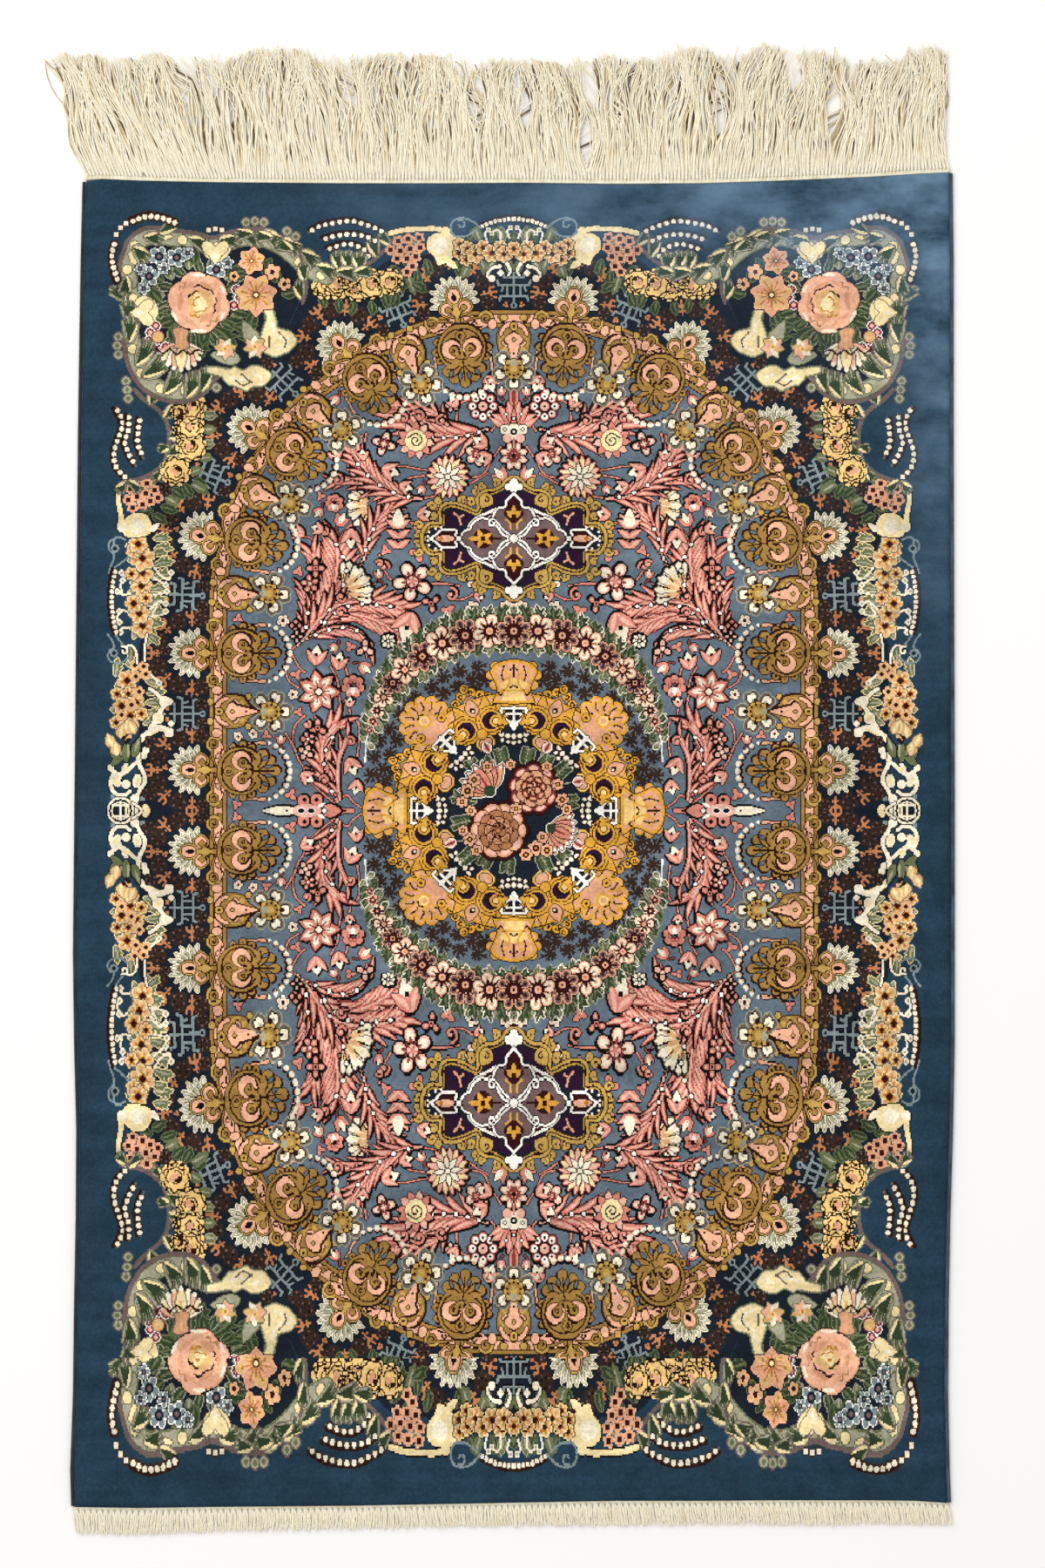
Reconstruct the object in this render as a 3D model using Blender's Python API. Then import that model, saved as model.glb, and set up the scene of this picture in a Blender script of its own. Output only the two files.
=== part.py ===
"""A knotted Persian rug with a silk pile, lying flat.

The woven body is one flat slab with the slightly uneven outline of a handmade rug.
Each long side is bound with an overcast cord. Each end has a flat-woven heading, and the
warp ends leave the heading as a fringe: long and combed out at one end, short at the other.

Frame: metres, +Z up, the underside at Z = 0, the long fringe towards +Y.
The origin is the middle of the woven body on its underside.
"""

import bmesh
import bpy
from mathutils import Vector

MM = 0.001

# Woven body: thickness of foundation and pile together, and the room kept between two pieces.
BODY_THICK = 4.0 * MM
GAP = 0.3 * MM

# Overcast side cords.
CORD_RADIUS = 1.7 * MM
CORD_LIFT = 0.1 * MM

# Points that the outline is drawn through, on an end and on a long side.
END_STATIONS = 90
SIDE_STATIONS = 48

# Flat-woven headings between the pile and the fringe.
HEADING_WIDE = 5.0 * MM
HEADING_HIGH = 2.4 * MM
HEADING_INSET = 1.5 * MM

# Fringe strands: how many, their widths and heights at root and tip, and how far along
# a strand its sections lie.
LONG_STRANDS = {
    "count": 180,
    "wide": (2.6 * MM, 1.5 * MM),
    "high": (2.2 * MM, 1.4 * MM),
    "sections": (0.10, 0.32, 0.55, 0.78, 1.0),
}
SHORT_STRANDS = {
    "count": 110,
    "wide": (3.9 * MM, 3.0 * MM),
    "high": (2.2 * MM, 1.6 * MM),
    "sections": (0.4, 1.0),
}

# The four sides of the rug as it lies, in millimetres from its middle.
# Long sides: (how far up the rug, X of the left side, X of the right side).
SIDES = (
    (-604.0, -402.0, 397.5),
    (-570.0, -403.0, 396.0),
    (-500.0, -400.5, 394.5),
    (-420.0, -399.5, 395.0),
    (-340.0, -398.0, 396.5),
    (-260.0, -397.5, 399.0),
    (-180.0, -399.5, 400.5),
    (-100.0, -400.5, 400.5),
    (50.0, -399.0, 400.5),
    (210.0, -397.5, 400.0),
    (370.0, -396.0, 399.5),
    (530.0, -393.5, 399.5),
    (612.0, -391.5, 398.5),
)
# Ends: (how far across the rug, Y of the short-fringe end, Y of the long-fringe end).
ENDS = (
    (-405.0, -602.0, 600.5),
    (-375.0, -602.5, 602.5),
    (-340.0, -603.0, 601.0),
    (-270.0, -602.0, 599.5),
    (-150.0, -601.0, 598.5),
    (-70.0, -599.5, 598.5),
    (10.0, -598.0, 599.0),
    (90.0, -596.5, 598.0),
    (170.0, -596.5, 598.5),
    (245.0, -596.0, 601.0),
    (325.0, -596.0, 604.5),
    (365.0, -596.5, 607.0),
    (405.0, -599.0, 609.0),
)

# Long fringe, in millimetres, a row for each lock of strands: where it is rooted across the rug,
# how far it has moved sideways halfway up and at its tip, and how far up the rug its tip reaches.
LONG_LOCKS = (
    (-392.0, -16.0, -23.0, 712.0),
    (-375.0, -18.0, -29.0, 716.0),
    (-345.0, -20.0, -36.0, 715.0),
    (-319.0, -22.0, -43.0, 712.0),
    (-295.0, -19.0, -33.0, 716.0),
    (-276.0, -21.0, -38.0, 717.0),
    (-268.0, -11.0, -20.0, 714.0),
    (-257.0, -13.0, -23.0, 712.0),
    (-249.0, -5.0, -10.0, 709.0),
    (-232.0, -4.0, -9.0, 721.0),
    (-204.0, -6.0, -9.0, 721.0),
    (-184.0, -10.0, -16.0, 719.0),
    (-163.0, -11.0, -22.0, 716.0),
    (-150.0, -12.0, -24.0, 710.0),
    (-142.0, -2.0, -6.0, 712.0),
    (-127.0, -4.0, -7.0, 716.0),
    (-110.0, -1.0, -2.0, 717.0),
    (-92.0, 1.0, 1.0, 716.0),
    (-73.0, -2.0, -4.0, 716.0),
    (-56.0, -1.0, -3.0, 714.0),
    (-46.0, -3.0, -6.0, 705.0),
    (-33.0, -7.0, -11.0, 694.0),
    (-21.0, -2.0, -4.0, 712.0),
    (-7.0, -2.0, -3.0, 712.0),
    (9.0, -8.0, -11.0, 709.0),
    (20.0, -1.0, -13.0, 709.0),
    (38.0, -4.0, -15.0, 710.0),
    (50.0, -6.0, -15.0, 708.0),
    (62.0, -7.0, -12.0, 706.0),
    (76.0, 2.0, 0.0, 714.0),
    (86.0, 1.0, 3.0, 716.0),
    (100.0, 0.0, -1.0, 708.0),
    (114.0, 1.0, 1.0, 712.0),
    (131.0, -1.0, 0.0, 712.0),
    (148.0, 2.0, 7.0, 720.0),
    (164.0, 2.0, 6.0, 724.0),
    (176.0, 1.0, 5.0, 716.0),
    (185.0, 6.0, 17.0, 712.0),
    (200.0, 9.0, 19.0, 724.0),
    (216.0, 8.0, 16.0, 724.0),
    (231.0, 5.0, 10.0, 716.0),
    (242.0, 2.0, 5.0, 696.0),
    (254.0, 5.0, 13.0, 719.0),
    (270.0, 2.0, 7.0, 718.0),
    (280.0, 1.0, 8.0, 717.0),
    (289.0, 6.0, 16.0, 712.0),
    (307.0, 7.0, 14.0, 710.0),
    (325.0, 8.0, 13.0, 708.0),
    (340.0, 5.0, 12.0, 712.0),
    (352.0, 3.0, 10.0, 718.0),
    (366.0, 1.0, 7.0, 723.0),
    (382.0, -4.0, 2.0, 722.0),
    (397.0, -9.0, -3.0, 721.0),
)
# Short fringe: the same columns, with the tips towards -Y.
SHORT_LOCKS = (
    (-396.0, 1.0, 2.0, -627.0),
    (-330.0, -1.0, -2.0, -628.0),
    (-250.0, 1.0, 1.0, -624.5),
    (-170.0, 0.0, -1.0, -623.0),
    (-90.0, 1.0, 2.0, -621.5),
    (0.0, 0.0, 1.0, -620.0),
    (90.0, 1.0, 2.5, -620.0),
    (180.0, 1.5, 3.0, -618.5),
    (270.0, 1.0, 2.5, -619.0),
    (340.0, 1.5, 3.0, -618.5),
    (396.0, 1.0, 2.0, -619.0),
)

# Colour as linear RGBA, roughness.
NAVY_SILK = ((0.018, 0.045, 0.085, 1.0), 0.45)
DARK_SILK = ((0.008, 0.018, 0.036, 1.0), 0.5)
CREAM_SILK = ((0.72, 0.62, 0.44, 1.0), 0.6)


def clear_scene():
    for obj in list(bpy.data.objects):
        bpy.data.objects.remove(obj)


def look_up(table, place, column):
    """Reads a column of a table at a place between its rows."""
    if place <= table[0][0]:
        return table[0][column]
    for low, high in zip(table, table[1:]):
        if place <= high[0]:
            share = (place - low[0]) / (high[0] - low[0])
            return low[column] + (high[column] - low[column]) * share
    return table[-1][column]


def side_x(y, column):
    return look_up(SIDES, y / MM, column) * MM


def end_y(x, column):
    return look_up(ENDS, x / MM, column) * MM


def spread(low, high, count):
    """Evenly spaced values from low to high, both ends included."""
    return [low + (high - low) * step / (count - 1) for step in range(count)]


def material(name, finish):
    colour, roughness = finish
    made = bpy.data.materials.new(name)
    made.use_nodes = True
    shader = made.node_tree.nodes["Principled BSDF"]
    shader.inputs["Base Color"].default_value = colour
    shader.inputs["Roughness"].default_value = roughness
    return made


def add_object(name, data, collection, parent, finish):
    obj = bpy.data.objects.new(name, data)
    obj.parent = parent
    data.materials.append(finish)
    collection.objects.link(obj)
    return obj


def side_stations():
    """The heights at which both the pile and its cords follow a long side."""
    return spread(SIDES[0][0] * MM * 0.97, SIDES[-1][0] * MM * 0.97, SIDE_STATIONS)


def body_outline():
    """The outline of the pile, inside the side cords."""
    inset = 2 * CORD_RADIUS + GAP
    heights = side_stations()
    low_end = spread(SIDES[0][1] * MM + inset, SIDES[0][2] * MM - inset, END_STATIONS)
    high_end = spread(SIDES[-1][2] * MM - inset, SIDES[-1][1] * MM + inset, END_STATIONS)
    points = [(x, end_y(x, 1)) for x in low_end]
    points += [(side_x(y, 2) - inset, y) for y in heights]
    points += [(x, end_y(x, 2)) for x in high_end]
    points += [(side_x(y, 1) + inset, y) for y in reversed(heights)]
    return points


def make_body(collection, parent, finish):
    """The knotted pile on its foundation, a flat slab cut to the rug's own outline."""
    points = body_outline()
    curve = bpy.data.curves.new("rug_body", "CURVE")
    curve.dimensions = "2D"
    curve.fill_mode = "BOTH"
    curve.extrude = BODY_THICK / 2
    spline = curve.splines.new("POLY")
    spline.points.add(len(points) - 1)
    for point, (x, y) in zip(spline.points, points):
        point.co = (x, y, 0.0, 1.0)
    spline.use_cyclic_u = True
    body = add_object("rug_body", curve, collection, parent, finish)
    body.location = (0.0, 0.0, BODY_THICK / 2)
    return body


def make_side_cord(name, column, inward, collection, parent, finish):
    """An overcast cord that binds one long side."""
    curve = bpy.data.curves.new(name, "CURVE")
    curve.dimensions = "3D"
    curve.bevel_depth = CORD_RADIUS
    curve.bevel_resolution = 2
    curve.use_fill_caps = True
    spline = curve.splines.new("POLY")
    low = end_y(SIDES[0][column] * MM, 1)
    high = end_y(SIDES[-1][column] * MM, 2)
    heights = [low, *side_stations(), high]
    spline.points.add(len(heights) - 1)
    for point, y in zip(spline.points, heights):
        x = side_x(y, column) + inward * CORD_RADIUS
        point.co = (x, y, CORD_RADIUS + CORD_LIFT, 1.0)
    return add_object(name, curve, collection, parent, finish)


def heading_bar(left, right, cuts):
    """A box along X, as wide as Y from 0 to 1, cut across at the given places."""
    shape = bmesh.new()
    bmesh.ops.create_cube(shape, size=1.0)
    bmesh.ops.translate(shape, verts=shape.verts, vec=(0.5, 0.5, 0.5))
    long_edges = [
        edge for edge in shape.edges if abs(edge.verts[0].co.x - edge.verts[1].co.x) > 0.5
    ]
    bmesh.ops.subdivide_edges(shape, edges=long_edges, cuts=len(cuts), use_grid_fill=True)
    places = [left, *cuts, right]
    for corner in shape.verts:
        index = round(corner.co.x * (len(cuts) + 1))
        corner.co.x = places[index]
        corner.co.z *= HEADING_HIGH
    return shape


def place_section(face, centre, across, wide, high):
    """Sets the corners of a strand's end face about a point of the strand's middle line."""
    middle = face.calc_center_median()
    for corner in face.verts:
        side = 1 if corner.co.x > middle.x else -1
        level = high if corner.co.z > middle.z else 0.0
        corner.co = centre + across * (side * wide / 2) + Vector((0.0, 0.0, level))


def grow_strand(shape, face, locks, style, way):
    """Extrudes one face of the heading into a tapered strand that lies on the floor."""
    root = face.calc_center_median()
    mid_shift = look_up(locks, root.x / MM, 1) * MM
    tip_shift = look_up(locks, root.x / MM, 2) * MM
    tip_y = look_up(locks, root.x / MM, 3) * MM

    def middle_line(share):
        bend = 4 * share * (1 - share) * mid_shift + share * (2 * share - 1) * tip_shift
        return Vector((root.x + bend, root.y + (tip_y - root.y) * share, 0.0))

    for share in style["sections"]:
        face = bmesh.ops.extrude_discrete_faces(shape, faces=[face])["faces"][0]
        along = middle_line(share + 0.02) - middle_line(share - 0.02)
        across = Vector((along.y, -along.x, 0.0)).normalized() * way
        wide, high = (
            style[size][0] + (style[size][1] - style[size][0]) * share for size in ("wide", "high")
        )
        place_section(face, middle_line(share), across, wide, high)


def make_fringe(name, locks, style, way, owner):
    """A flat-woven heading with its strands, one solid. way is 1 towards +Y and -1 towards -Y."""
    collection, parent, finish = owner
    end, end_column = (SIDES[-1], 2) if way > 0 else (SIDES[0], 1)
    left = end[1] * MM + HEADING_INSET
    right = end[2] * MM - HEADING_INSET
    pitch = (right - left) / style["count"]
    cuts = []
    for strand in range(style["count"]):
        root = left + (strand + 0.5) * pitch
        cuts += [root - style["wide"][0] / 2, root + style["wide"][0] / 2]
    shape = heading_bar(left, right, cuts)
    for corner in shape.verts:
        corner.co.y = end_y(corner.co.x, end_column) + way * (GAP + corner.co.y * HEADING_WIDE)
    if way < 0:
        bmesh.ops.reverse_faces(shape, faces=shape.faces)
    shape.normal_update()
    outer = [face for face in shape.faces if face.normal.y * way > 0.9]
    outer.sort(key=lambda face: face.calc_center_median().x)
    for face in outer[1::2]:
        grow_strand(shape, face, locks, style, way)
    mesh = bpy.data.meshes.new(name)
    shape.to_mesh(mesh)
    shape.free()
    return add_object(name, mesh, collection, parent, finish)


def main():
    clear_scene()
    collection = bpy.data.collections.new("persian_rug")
    bpy.context.scene.collection.children.link(collection)
    base = bpy.data.objects.new("rug_base", None)
    collection.objects.link(base)
    pile = material("navy_silk_pile", NAVY_SILK)
    binding = material("dark_silk_binding", DARK_SILK)
    warp = material("cream_silk_warp", CREAM_SILK)
    make_body(collection, base, pile)
    make_side_cord("side_cord_left", 1, 1, collection, base, binding)
    make_side_cord("side_cord_right", 2, -1, collection, base, binding)
    owner = (collection, base, warp)
    make_fringe("fringe_long", LONG_LOCKS, LONG_STRANDS, 1, owner)
    make_fringe("fringe_short", SHORT_LOCKS, SHORT_STRANDS, -1, owner)


main()
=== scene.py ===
# A knotted Persian rug in silk, lying flat and seen from above.
# The imported part's boxes give the floor's level and the camera's height; the rug's own sizes are listed
# below in millimetres and built in metres.
import math
from contextlib import contextmanager
from functools import partial

import bpy
import numpy as np
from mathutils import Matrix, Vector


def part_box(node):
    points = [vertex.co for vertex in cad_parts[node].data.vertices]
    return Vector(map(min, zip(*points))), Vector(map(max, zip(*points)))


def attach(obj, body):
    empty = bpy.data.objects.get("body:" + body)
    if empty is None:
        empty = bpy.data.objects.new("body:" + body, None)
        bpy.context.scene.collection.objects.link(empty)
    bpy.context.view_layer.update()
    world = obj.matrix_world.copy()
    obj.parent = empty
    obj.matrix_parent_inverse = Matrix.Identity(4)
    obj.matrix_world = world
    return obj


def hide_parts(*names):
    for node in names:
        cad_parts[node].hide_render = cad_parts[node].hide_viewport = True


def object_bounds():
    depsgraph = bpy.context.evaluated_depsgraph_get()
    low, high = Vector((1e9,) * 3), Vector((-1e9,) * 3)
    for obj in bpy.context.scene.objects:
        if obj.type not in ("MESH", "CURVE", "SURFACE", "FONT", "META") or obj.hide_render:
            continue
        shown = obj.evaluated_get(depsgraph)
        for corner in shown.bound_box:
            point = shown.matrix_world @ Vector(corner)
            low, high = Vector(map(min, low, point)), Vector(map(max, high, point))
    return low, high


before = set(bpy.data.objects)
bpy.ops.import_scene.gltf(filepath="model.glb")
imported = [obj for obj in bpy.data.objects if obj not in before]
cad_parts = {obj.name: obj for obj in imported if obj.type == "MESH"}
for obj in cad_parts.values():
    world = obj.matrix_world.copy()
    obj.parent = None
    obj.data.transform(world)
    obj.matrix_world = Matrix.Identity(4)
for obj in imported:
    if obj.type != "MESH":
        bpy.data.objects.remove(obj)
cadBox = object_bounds()
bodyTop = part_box("rug_body")[1].z
mm = 0.001
lucky = np.random.default_rng(1202)


def toLinear(hexColour):
    # sRGB hex, as read off the rug, to the linear values that shaders use
    parts = [int(hexColour[i : i + 2], 16) / 255 for i in (1, 3, 5)]
    return [p / 12.92 if p <= 0.04045 else ((p + 0.055) / 1.055) ** 2.4 for p in parts] + [1.0]


def addNode(tree, kind, inputs=(), out=0, **settings):
    # one shader node: its settings, and its inputs in order or by name, as values or as links
    node = tree.nodes.new("ShaderNode" + kind)
    for name, value in settings.items():
        setattr(node, name, value)
    for place, value in inputs.items() if isinstance(inputs, dict) else enumerate(inputs):
        if isinstance(value, bpy.types.NodeSocket):
            tree.links.new(value, node.inputs[place])
        else:
            node.inputs[place].default_value = value
    return node.outputs[out] if node.outputs else None


def setStops(ramp, *stops):
    elements = ramp.node.color_ramp.elements
    for i, (place, hexColour) in enumerate(stops):
        stop = elements[i] if i < 2 else elements.new(place)
        stop.position, stop.color = place, toLinear(hexColour)


def startMaterial(name):
    made = bpy.data.materials.new(name)
    made.use_nodes = True
    made.node_tree.nodes.clear()
    return made, partial(addNode, made.node_tree)


def closeMaterial(add, inputs):
    add("OutputMaterial", {"Surface": add("BsdfPrincipled", inputs)})


# the dyed yarns of the pile, sRGB
yarns = {"navy": "#243d4e", "night": "#17202b", "slate": "#64737f", "ink": "#0f0a09", "brown": "#2b1308",
    "twig": "#36261e", "rust": "#c57e50", "olive": "#a67e40", "oliveLight": "#c8a254", "blush": "#f3b694",
    "gold": "#e2a63f", "goldLight": "#fbd083", "salmon": "#e5a783", "cream": "#f9edd1",
    "white": "#fffaed", "straw": "#f6e0a8", "peach": "#e1b477", "orange": "#be7c2f", "plum": "#29122c",
    "rose": "#dca079", "roseDeep": "#b1774e", "pinkLight": "#f2b9a4", "pink": "#dd8a78",
    "pinkDeep": "#8c4038", "maroon": "#360e0f", "mauve": "#755d5c", "magenta": "#7b1f3a",
    "leafDark": "#33422b", "leaf": "#6a714c", "leafLight": "#a7a48a", "steel": "#829092",
    "fawn": "#6d6157"}
code = {name: i for i, name in enumerate(yarns)}
knotLayers = ("knotsA", "knotsB", "knotsC")


class Chart:
    # squared paper, one square to a knot and 1 mm, that holds the yarn of each
    def __init__(self, wide, high, yarn, left=0, low=0):
        self.knots = np.full((high, wide), code[yarn], np.int8)
        self.left, self.low = left, low
        self.stand = 0, 0, 0, 1

    def near(self, x, y, reach, turn=0.0):
        # the squares round a place, each with how far it lies along the turn and to its side
        rootX, rootY, rootTurn, hand = self.stand
        x, y = turned(rootX, rootY, rootTurn, x, hand * y)
        turn = rootTurn + hand * turn
        high, wide = self.knots.shape
        i0, i1 = (int(np.clip(x - self.left + d, 0, wide)) for d in (-reach, reach + 2))
        j0, j1 = (int(np.clip(y - self.low + d, 0, high)) for d in (-reach, reach + 2))
        right = np.arange(i0, i1) + 0.5 + self.left - x
        up = (np.arange(j0, j1) + 0.5 + self.low - y)[:, None]
        c, s = math.cos(math.radians(turn)), math.sin(math.radians(turn))
        return self.knots[j0:j1, i0:i1], right * c + up * s, hand * (up * c - right * s)


def turned(x, y, turn, along, side=0.0):
    # a place measured from another one, along a turn and to its side
    c, s = math.cos(math.radians(turn)), math.sin(math.radians(turn))
    return x + along * c - side * s, y + along * s + side * c


def around(turn, along, side=0.0):
    return turned(0, 0, turn, along, side)


def spokes(count, start=0.0):
    for i in range(count):
        yield i, start + 360 / count * i


def motif(draw):
    # what it draws is measured from its own root, along its turn and to its side
    def drawn(x, y, turn=0.0, *rest, **more):
        rootX, rootY, rootTurn, hand = chart.stand
        chart.stand = *turned(rootX, rootY, rootTurn, x, hand * y), rootTurn + hand * turn, hand
        draw(*rest, **more)
        chart.stand = rootX, rootY, rootTurn, hand

    return drawn


def bothSides(first=-1):
    # what the loop draws is drawn a second time, mirrored about the line of the turn
    stand = chart.stand
    for side in (first, -first):
        chart.stand = *stand[:3], side * stand[3]
        yield
    chart.stand = stand


def spread(where):
    grown = where.copy()
    grown[1:] |= where[:-1]
    grown[:-1] |= where[1:]
    grown[:, 1:] |= where[:, :-1]
    grown[:, :-1] |= where[:, 1:]
    return grown


@contextmanager
def outlined(*edges):
    # what is drawn inside gets an outline of one knot in each of these yarns, inner one first
    below = chart.knots
    chart.knots = np.full_like(below, -1)
    yield
    top, chart.knots = chart.knots, below
    taken = top >= 0
    grown = taken
    for edge in edges:
        wider = spread(grown)
        below[wider & ~grown] = code[edge]
        grown = wider
    below[taken] = top[taken]


@contextmanager
def shadowed(yarn="ink"):
    # what is drawn inside gets a dark outline, wider on the side towards the middle
    below = chart.knots
    chart.knots = np.full_like(below, -1)
    yield
    top, chart.knots = chart.knots, below
    taken = top >= 0
    edge = spread(taken)
    edge[1:, :-1] |= edge[:-1, 1:]
    below[edge] = code[yarn]
    below[taken] = top[taken]


def openPlaces(yarn, least, most):
    # the bare patches of one yarn, widest first: middle and half width
    bare = chart.knots == code[yarn]
    depth, left = bare.astype(int), bare
    for _ in range(most):
        left = ~spread(~left)
        depth += left
    depth[:5] = depth[:, :5] = 0
    for reach in range(most, least - 1, -1):
        while (depth >= reach).any():
            j, i = np.unravel_index(np.argmax(depth >= reach), depth.shape)
            near = depth[max(j - 2, 0) : j + 7, max(i - 4, 0) : i + 7]
            dj, di = np.unravel_index(np.argmax(near), near.shape)
            j, i = max(j - 2, 0) + dj, max(i - 4, 0) + di
            gap = int(1.7 * reach) + 1
            depth[max(j - gap, 0) : j + gap, max(i - gap, 0) : i + gap] = 0
            yield i + 0.5, j + 0.5, reach


def shape(draw):
    # edge= gives it an outline of one knot in each of these yarns, inner one first
    def drawn(*how, edge=None):
        if edge:
            with outlined(*edge.split()):
                draw(*how)
        else:
            draw(*how)

    return drawn


@shape
def disc(x, y, r, yarn):
    k, u, v = chart.near(x, y, r + 1)
    k[u * u + v * v < r * r] = code[yarn]


@shape
def oval(x, y, turn, long, wide, yarn):
    k, u, v = chart.near(x, y, max(long, wide) / 2 + 1, turn)
    k[(2 * u / long) ** 2 + (2 * v / wide) ** 2 < 1] = code[yarn]


@shape
def leaf(x, y, turn, long, wide, yarn, bend=0.0, light=None, dark=None):
    # a pointed leaf from its root, with a light middle and a dark side where wanted
    k, u, v = chart.near(x, y, long * (1 + abs(bend)) + wide, turn)
    s = np.clip(u / long, 0, 1)
    v = v - bend * long * s * s
    half = wide / 2 * np.sin(np.pi * s**0.8) + 0.25 * (s > 0) * (s < 1)
    k[np.abs(v) < half] = code[yarn]
    if dark:
        k[(np.abs(v) < half) & (v * (1 if bend > 0 else -1) < -0.35 * half)] = code[dark]
    if light:
        k[np.abs(v) < half * 0.4] = code[light]


def route(places, step=0.7):
    # a smooth line through the places
    p = np.array([places[0], *places, places[-1]], float)
    line = []
    for a, b, c, d in zip(p, p[1:], p[2:], p[3:]):
        t = np.arange(0, 1, step / max(step, np.linalg.norm(c - b)))[:, None]
        bend, turn = 2 * a - 5 * b + 4 * c - d, 3 * b - a - 3 * c + d
        line.append(0.5 * (2 * b + (c - a) * t + bend * t**2 + turn * t**3))
    return np.concatenate([*line, p[-1:]])


@shape
def stroke(places, wide, yarn, end=None):
    line = route(places)
    for (x, y), w in zip(line, np.linspace(wide, wide if end is None else end, len(line))):
        disc(x, y, max(w / 2, 0.71), yarn)


def coil(x, y, r, turn, hand=1, turns=1.1, end=0.25):
    # places along a scroll that winds inwards to (x, y), starting r away from it in the turn
    t = np.linspace(0, 1, 9)
    a = np.radians(turn + hand * 360 * turns * t)
    d = r * (1 - (1 - end) * t)
    return list(zip(x + d * np.cos(a), y + d * np.sin(a)))


@shape
def petals(x, y, r, count, rings, turn=0.0, plump=1.0):
    # round petals side by side, each with rings of yarn from the outside in: (size, yarn)
    q = math.sin(math.pi / count) * plump
    middle, radius = r / (1 + q), r * q / (1 + q)
    k, u, v = chart.near(x, y, r + 1, turn)
    a = np.arctan2(v, u)
    off = (a * count / (2 * np.pi) + 0.5) % 1 - 0.5
    off = off * 2 * np.pi / count
    d = np.hypot(u, v)
    away = np.hypot(d * np.cos(off) - middle, d * np.sin(off)) / radius
    for size, yarn in rings:
        k[away < size] = code[yarn]


def rings(x, y, *pairs):
    for r, yarn in pairs:
        disc(x, y, r, yarn)


def beads(places, gap, r, yarn, edge=None):
    line = route(places, 0.25)
    run = np.append(0, np.cumsum(np.hypot(*np.diff(line, axis=0).T)))
    for d in np.arange(gap / 2, run[-1], gap):
        x, y = (np.interp(d, run, line[:, i]) for i in (0, 1))
        if edge:
            disc(x, y, r + 1, edge)
        disc(x, y, r, yarn)


@shape
def patch(places, yarn, smooth=True):
    # fills a closed line
    line = route([*places, places[0]], 1.0) if smooth else np.array([*places, places[0]], float)
    low, high = line.min(0), line.max(0)
    x, y = (low + high) / 2
    k, u, v = chart.near(x, y, max(high - low) / 2 + 1)
    inside = np.zeros(np.broadcast(u, v).shape, bool)
    for (x0, y0), (x1, y1) in zip(line - (x, y), line[1:] - (x, y)):
        if y0 != y1:
            inside ^= ((v < y0) != (v < y1)) & (u < x0 + (v - y0) * (x1 - x0) / (y1 - y0))
    k[inside] = code[yarn]




# millimetres from the middle of the design: across, along. Everything in this quarter is
# mirrored to the other three.
chart = Chart(402, 576, "navy")

ringPath = [(277, -40), (277, 0), (277, 100), (276.5, 200), (270, 240), (262, 270), (250, 300),
    (233, 330), (215, 357), (190, 383), (165, 401), (140, 418), (115, 432), (85, 444), (50, 452),
    (20, 455), (0, 455), (-30, 455)]
nightPath = [(340, -40), (340, 60), (338, 240), (330, 300), (305, 330), (285, 380), (262, 400),
    (225, 415), (205, 440), (180, 480), (130, 490), (100, 503), (0, 506), (-40, 506)]


def alongPath(places):
    # for each square: how far it lies inside the path, and how far along it
    line = route(places, 3.0)
    high, wide = chart.knots.shape
    x = (np.arange(wide) + 0.5)[None, :, None]
    y = (np.arange(high) + 0.5)[:, None, None]
    run = np.append(0, np.cumsum(np.hypot(*np.diff(line, axis=0).T)))
    depth = np.full((high, wide), 1e9)
    along = np.zeros((high, wide))
    for (x0, y0), (x1, y1), r0 in zip(line, line[1:], run):
        dx, dy = x1 - x0, y1 - y0
        long = math.hypot(dx, dy)
        if long < 1e-6:
            continue
        t = np.clip(((x[..., 0] - x0) * dx + (y[..., 0] - y0) * dy) / long**2, 0, 1)
        d = np.hypot(x[..., 0] - x0 - t * dx, y[..., 0] - y0 - t * dy)
        inside = (x[..., 0] - x0) * dy - (y[..., 0] - y0) * dx < 0
        nearer = d < np.abs(depth)
        depth[nearer] = np.where(inside, d, -d)[nearer]
        along[nearer] = (r0 + t * long)[nearer]
    return depth, along


@motif
def palmette():
    # an olive disc with two pink scrolls that open towards each other, over a fan of five lobes
    for _ in bothSides():
        for along, across, r in ((-10, 21.5, 3.2), (-1, 23.5, 3.4), (7, 21, 3.0)):
            with shadowed("brown"):
                disc(along, across, r, "olive")
            disc(along, across, 1.0, "brown")
    with shadowed("brown"):
        disc(-3, 0, 21.5, "olive")
        for a, d, r in ((0, 28.5, 4.4), (21, 26, 4.2), (41, 22.5, 4.6)):
            for _ in bothSides():
                disc(*around(a, d), r, "olive")
                stroke([(4, 4), around(a, d)], 7, "olive")
    for _ in bothSides():
        for a in (10, 31):
            leaf(*around(a, 19.5), a, 6.5, 2.2, "slate", edge="brown")
        stroke([(14, 1.5), (20, 6), (23, 12)], 1.0, "brown")
        stroke([(13, 4), (16, 9), (15, 15)], 1.0, "brown")
        stroke([(-20, 1), (-19, 8), (-13, 15.5), (-3, 19), (6, 16.5), (10, 11)], 1.0, "brown")
        with shadowed("brown"):
            disc(-2.5, 9.6, 8.4, "blush")
        with shadowed("brown"):
            disc(-1.2, 7.4, 4.0, "olive")
            stroke([(5, 0.5), (5, 3), (1.5, 5.5)], 3.6, "olive")
        stroke(coil(-1.2, 8.0, 2.2, 60, -1, 0.7, 0.3), 1.0, "brown")
    disc(-14, 0, 4.2, "olive", edge="brown")
    stroke([(-10, 0), (3, 0)], 1.6, "olive")
    stroke(coil(-14, 0, 2.2, 0, 1, 0.8, 0.3), 1.0, "brown")
    stroke([(9, 0), (27, 0)], 1.0, "brown")


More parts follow.
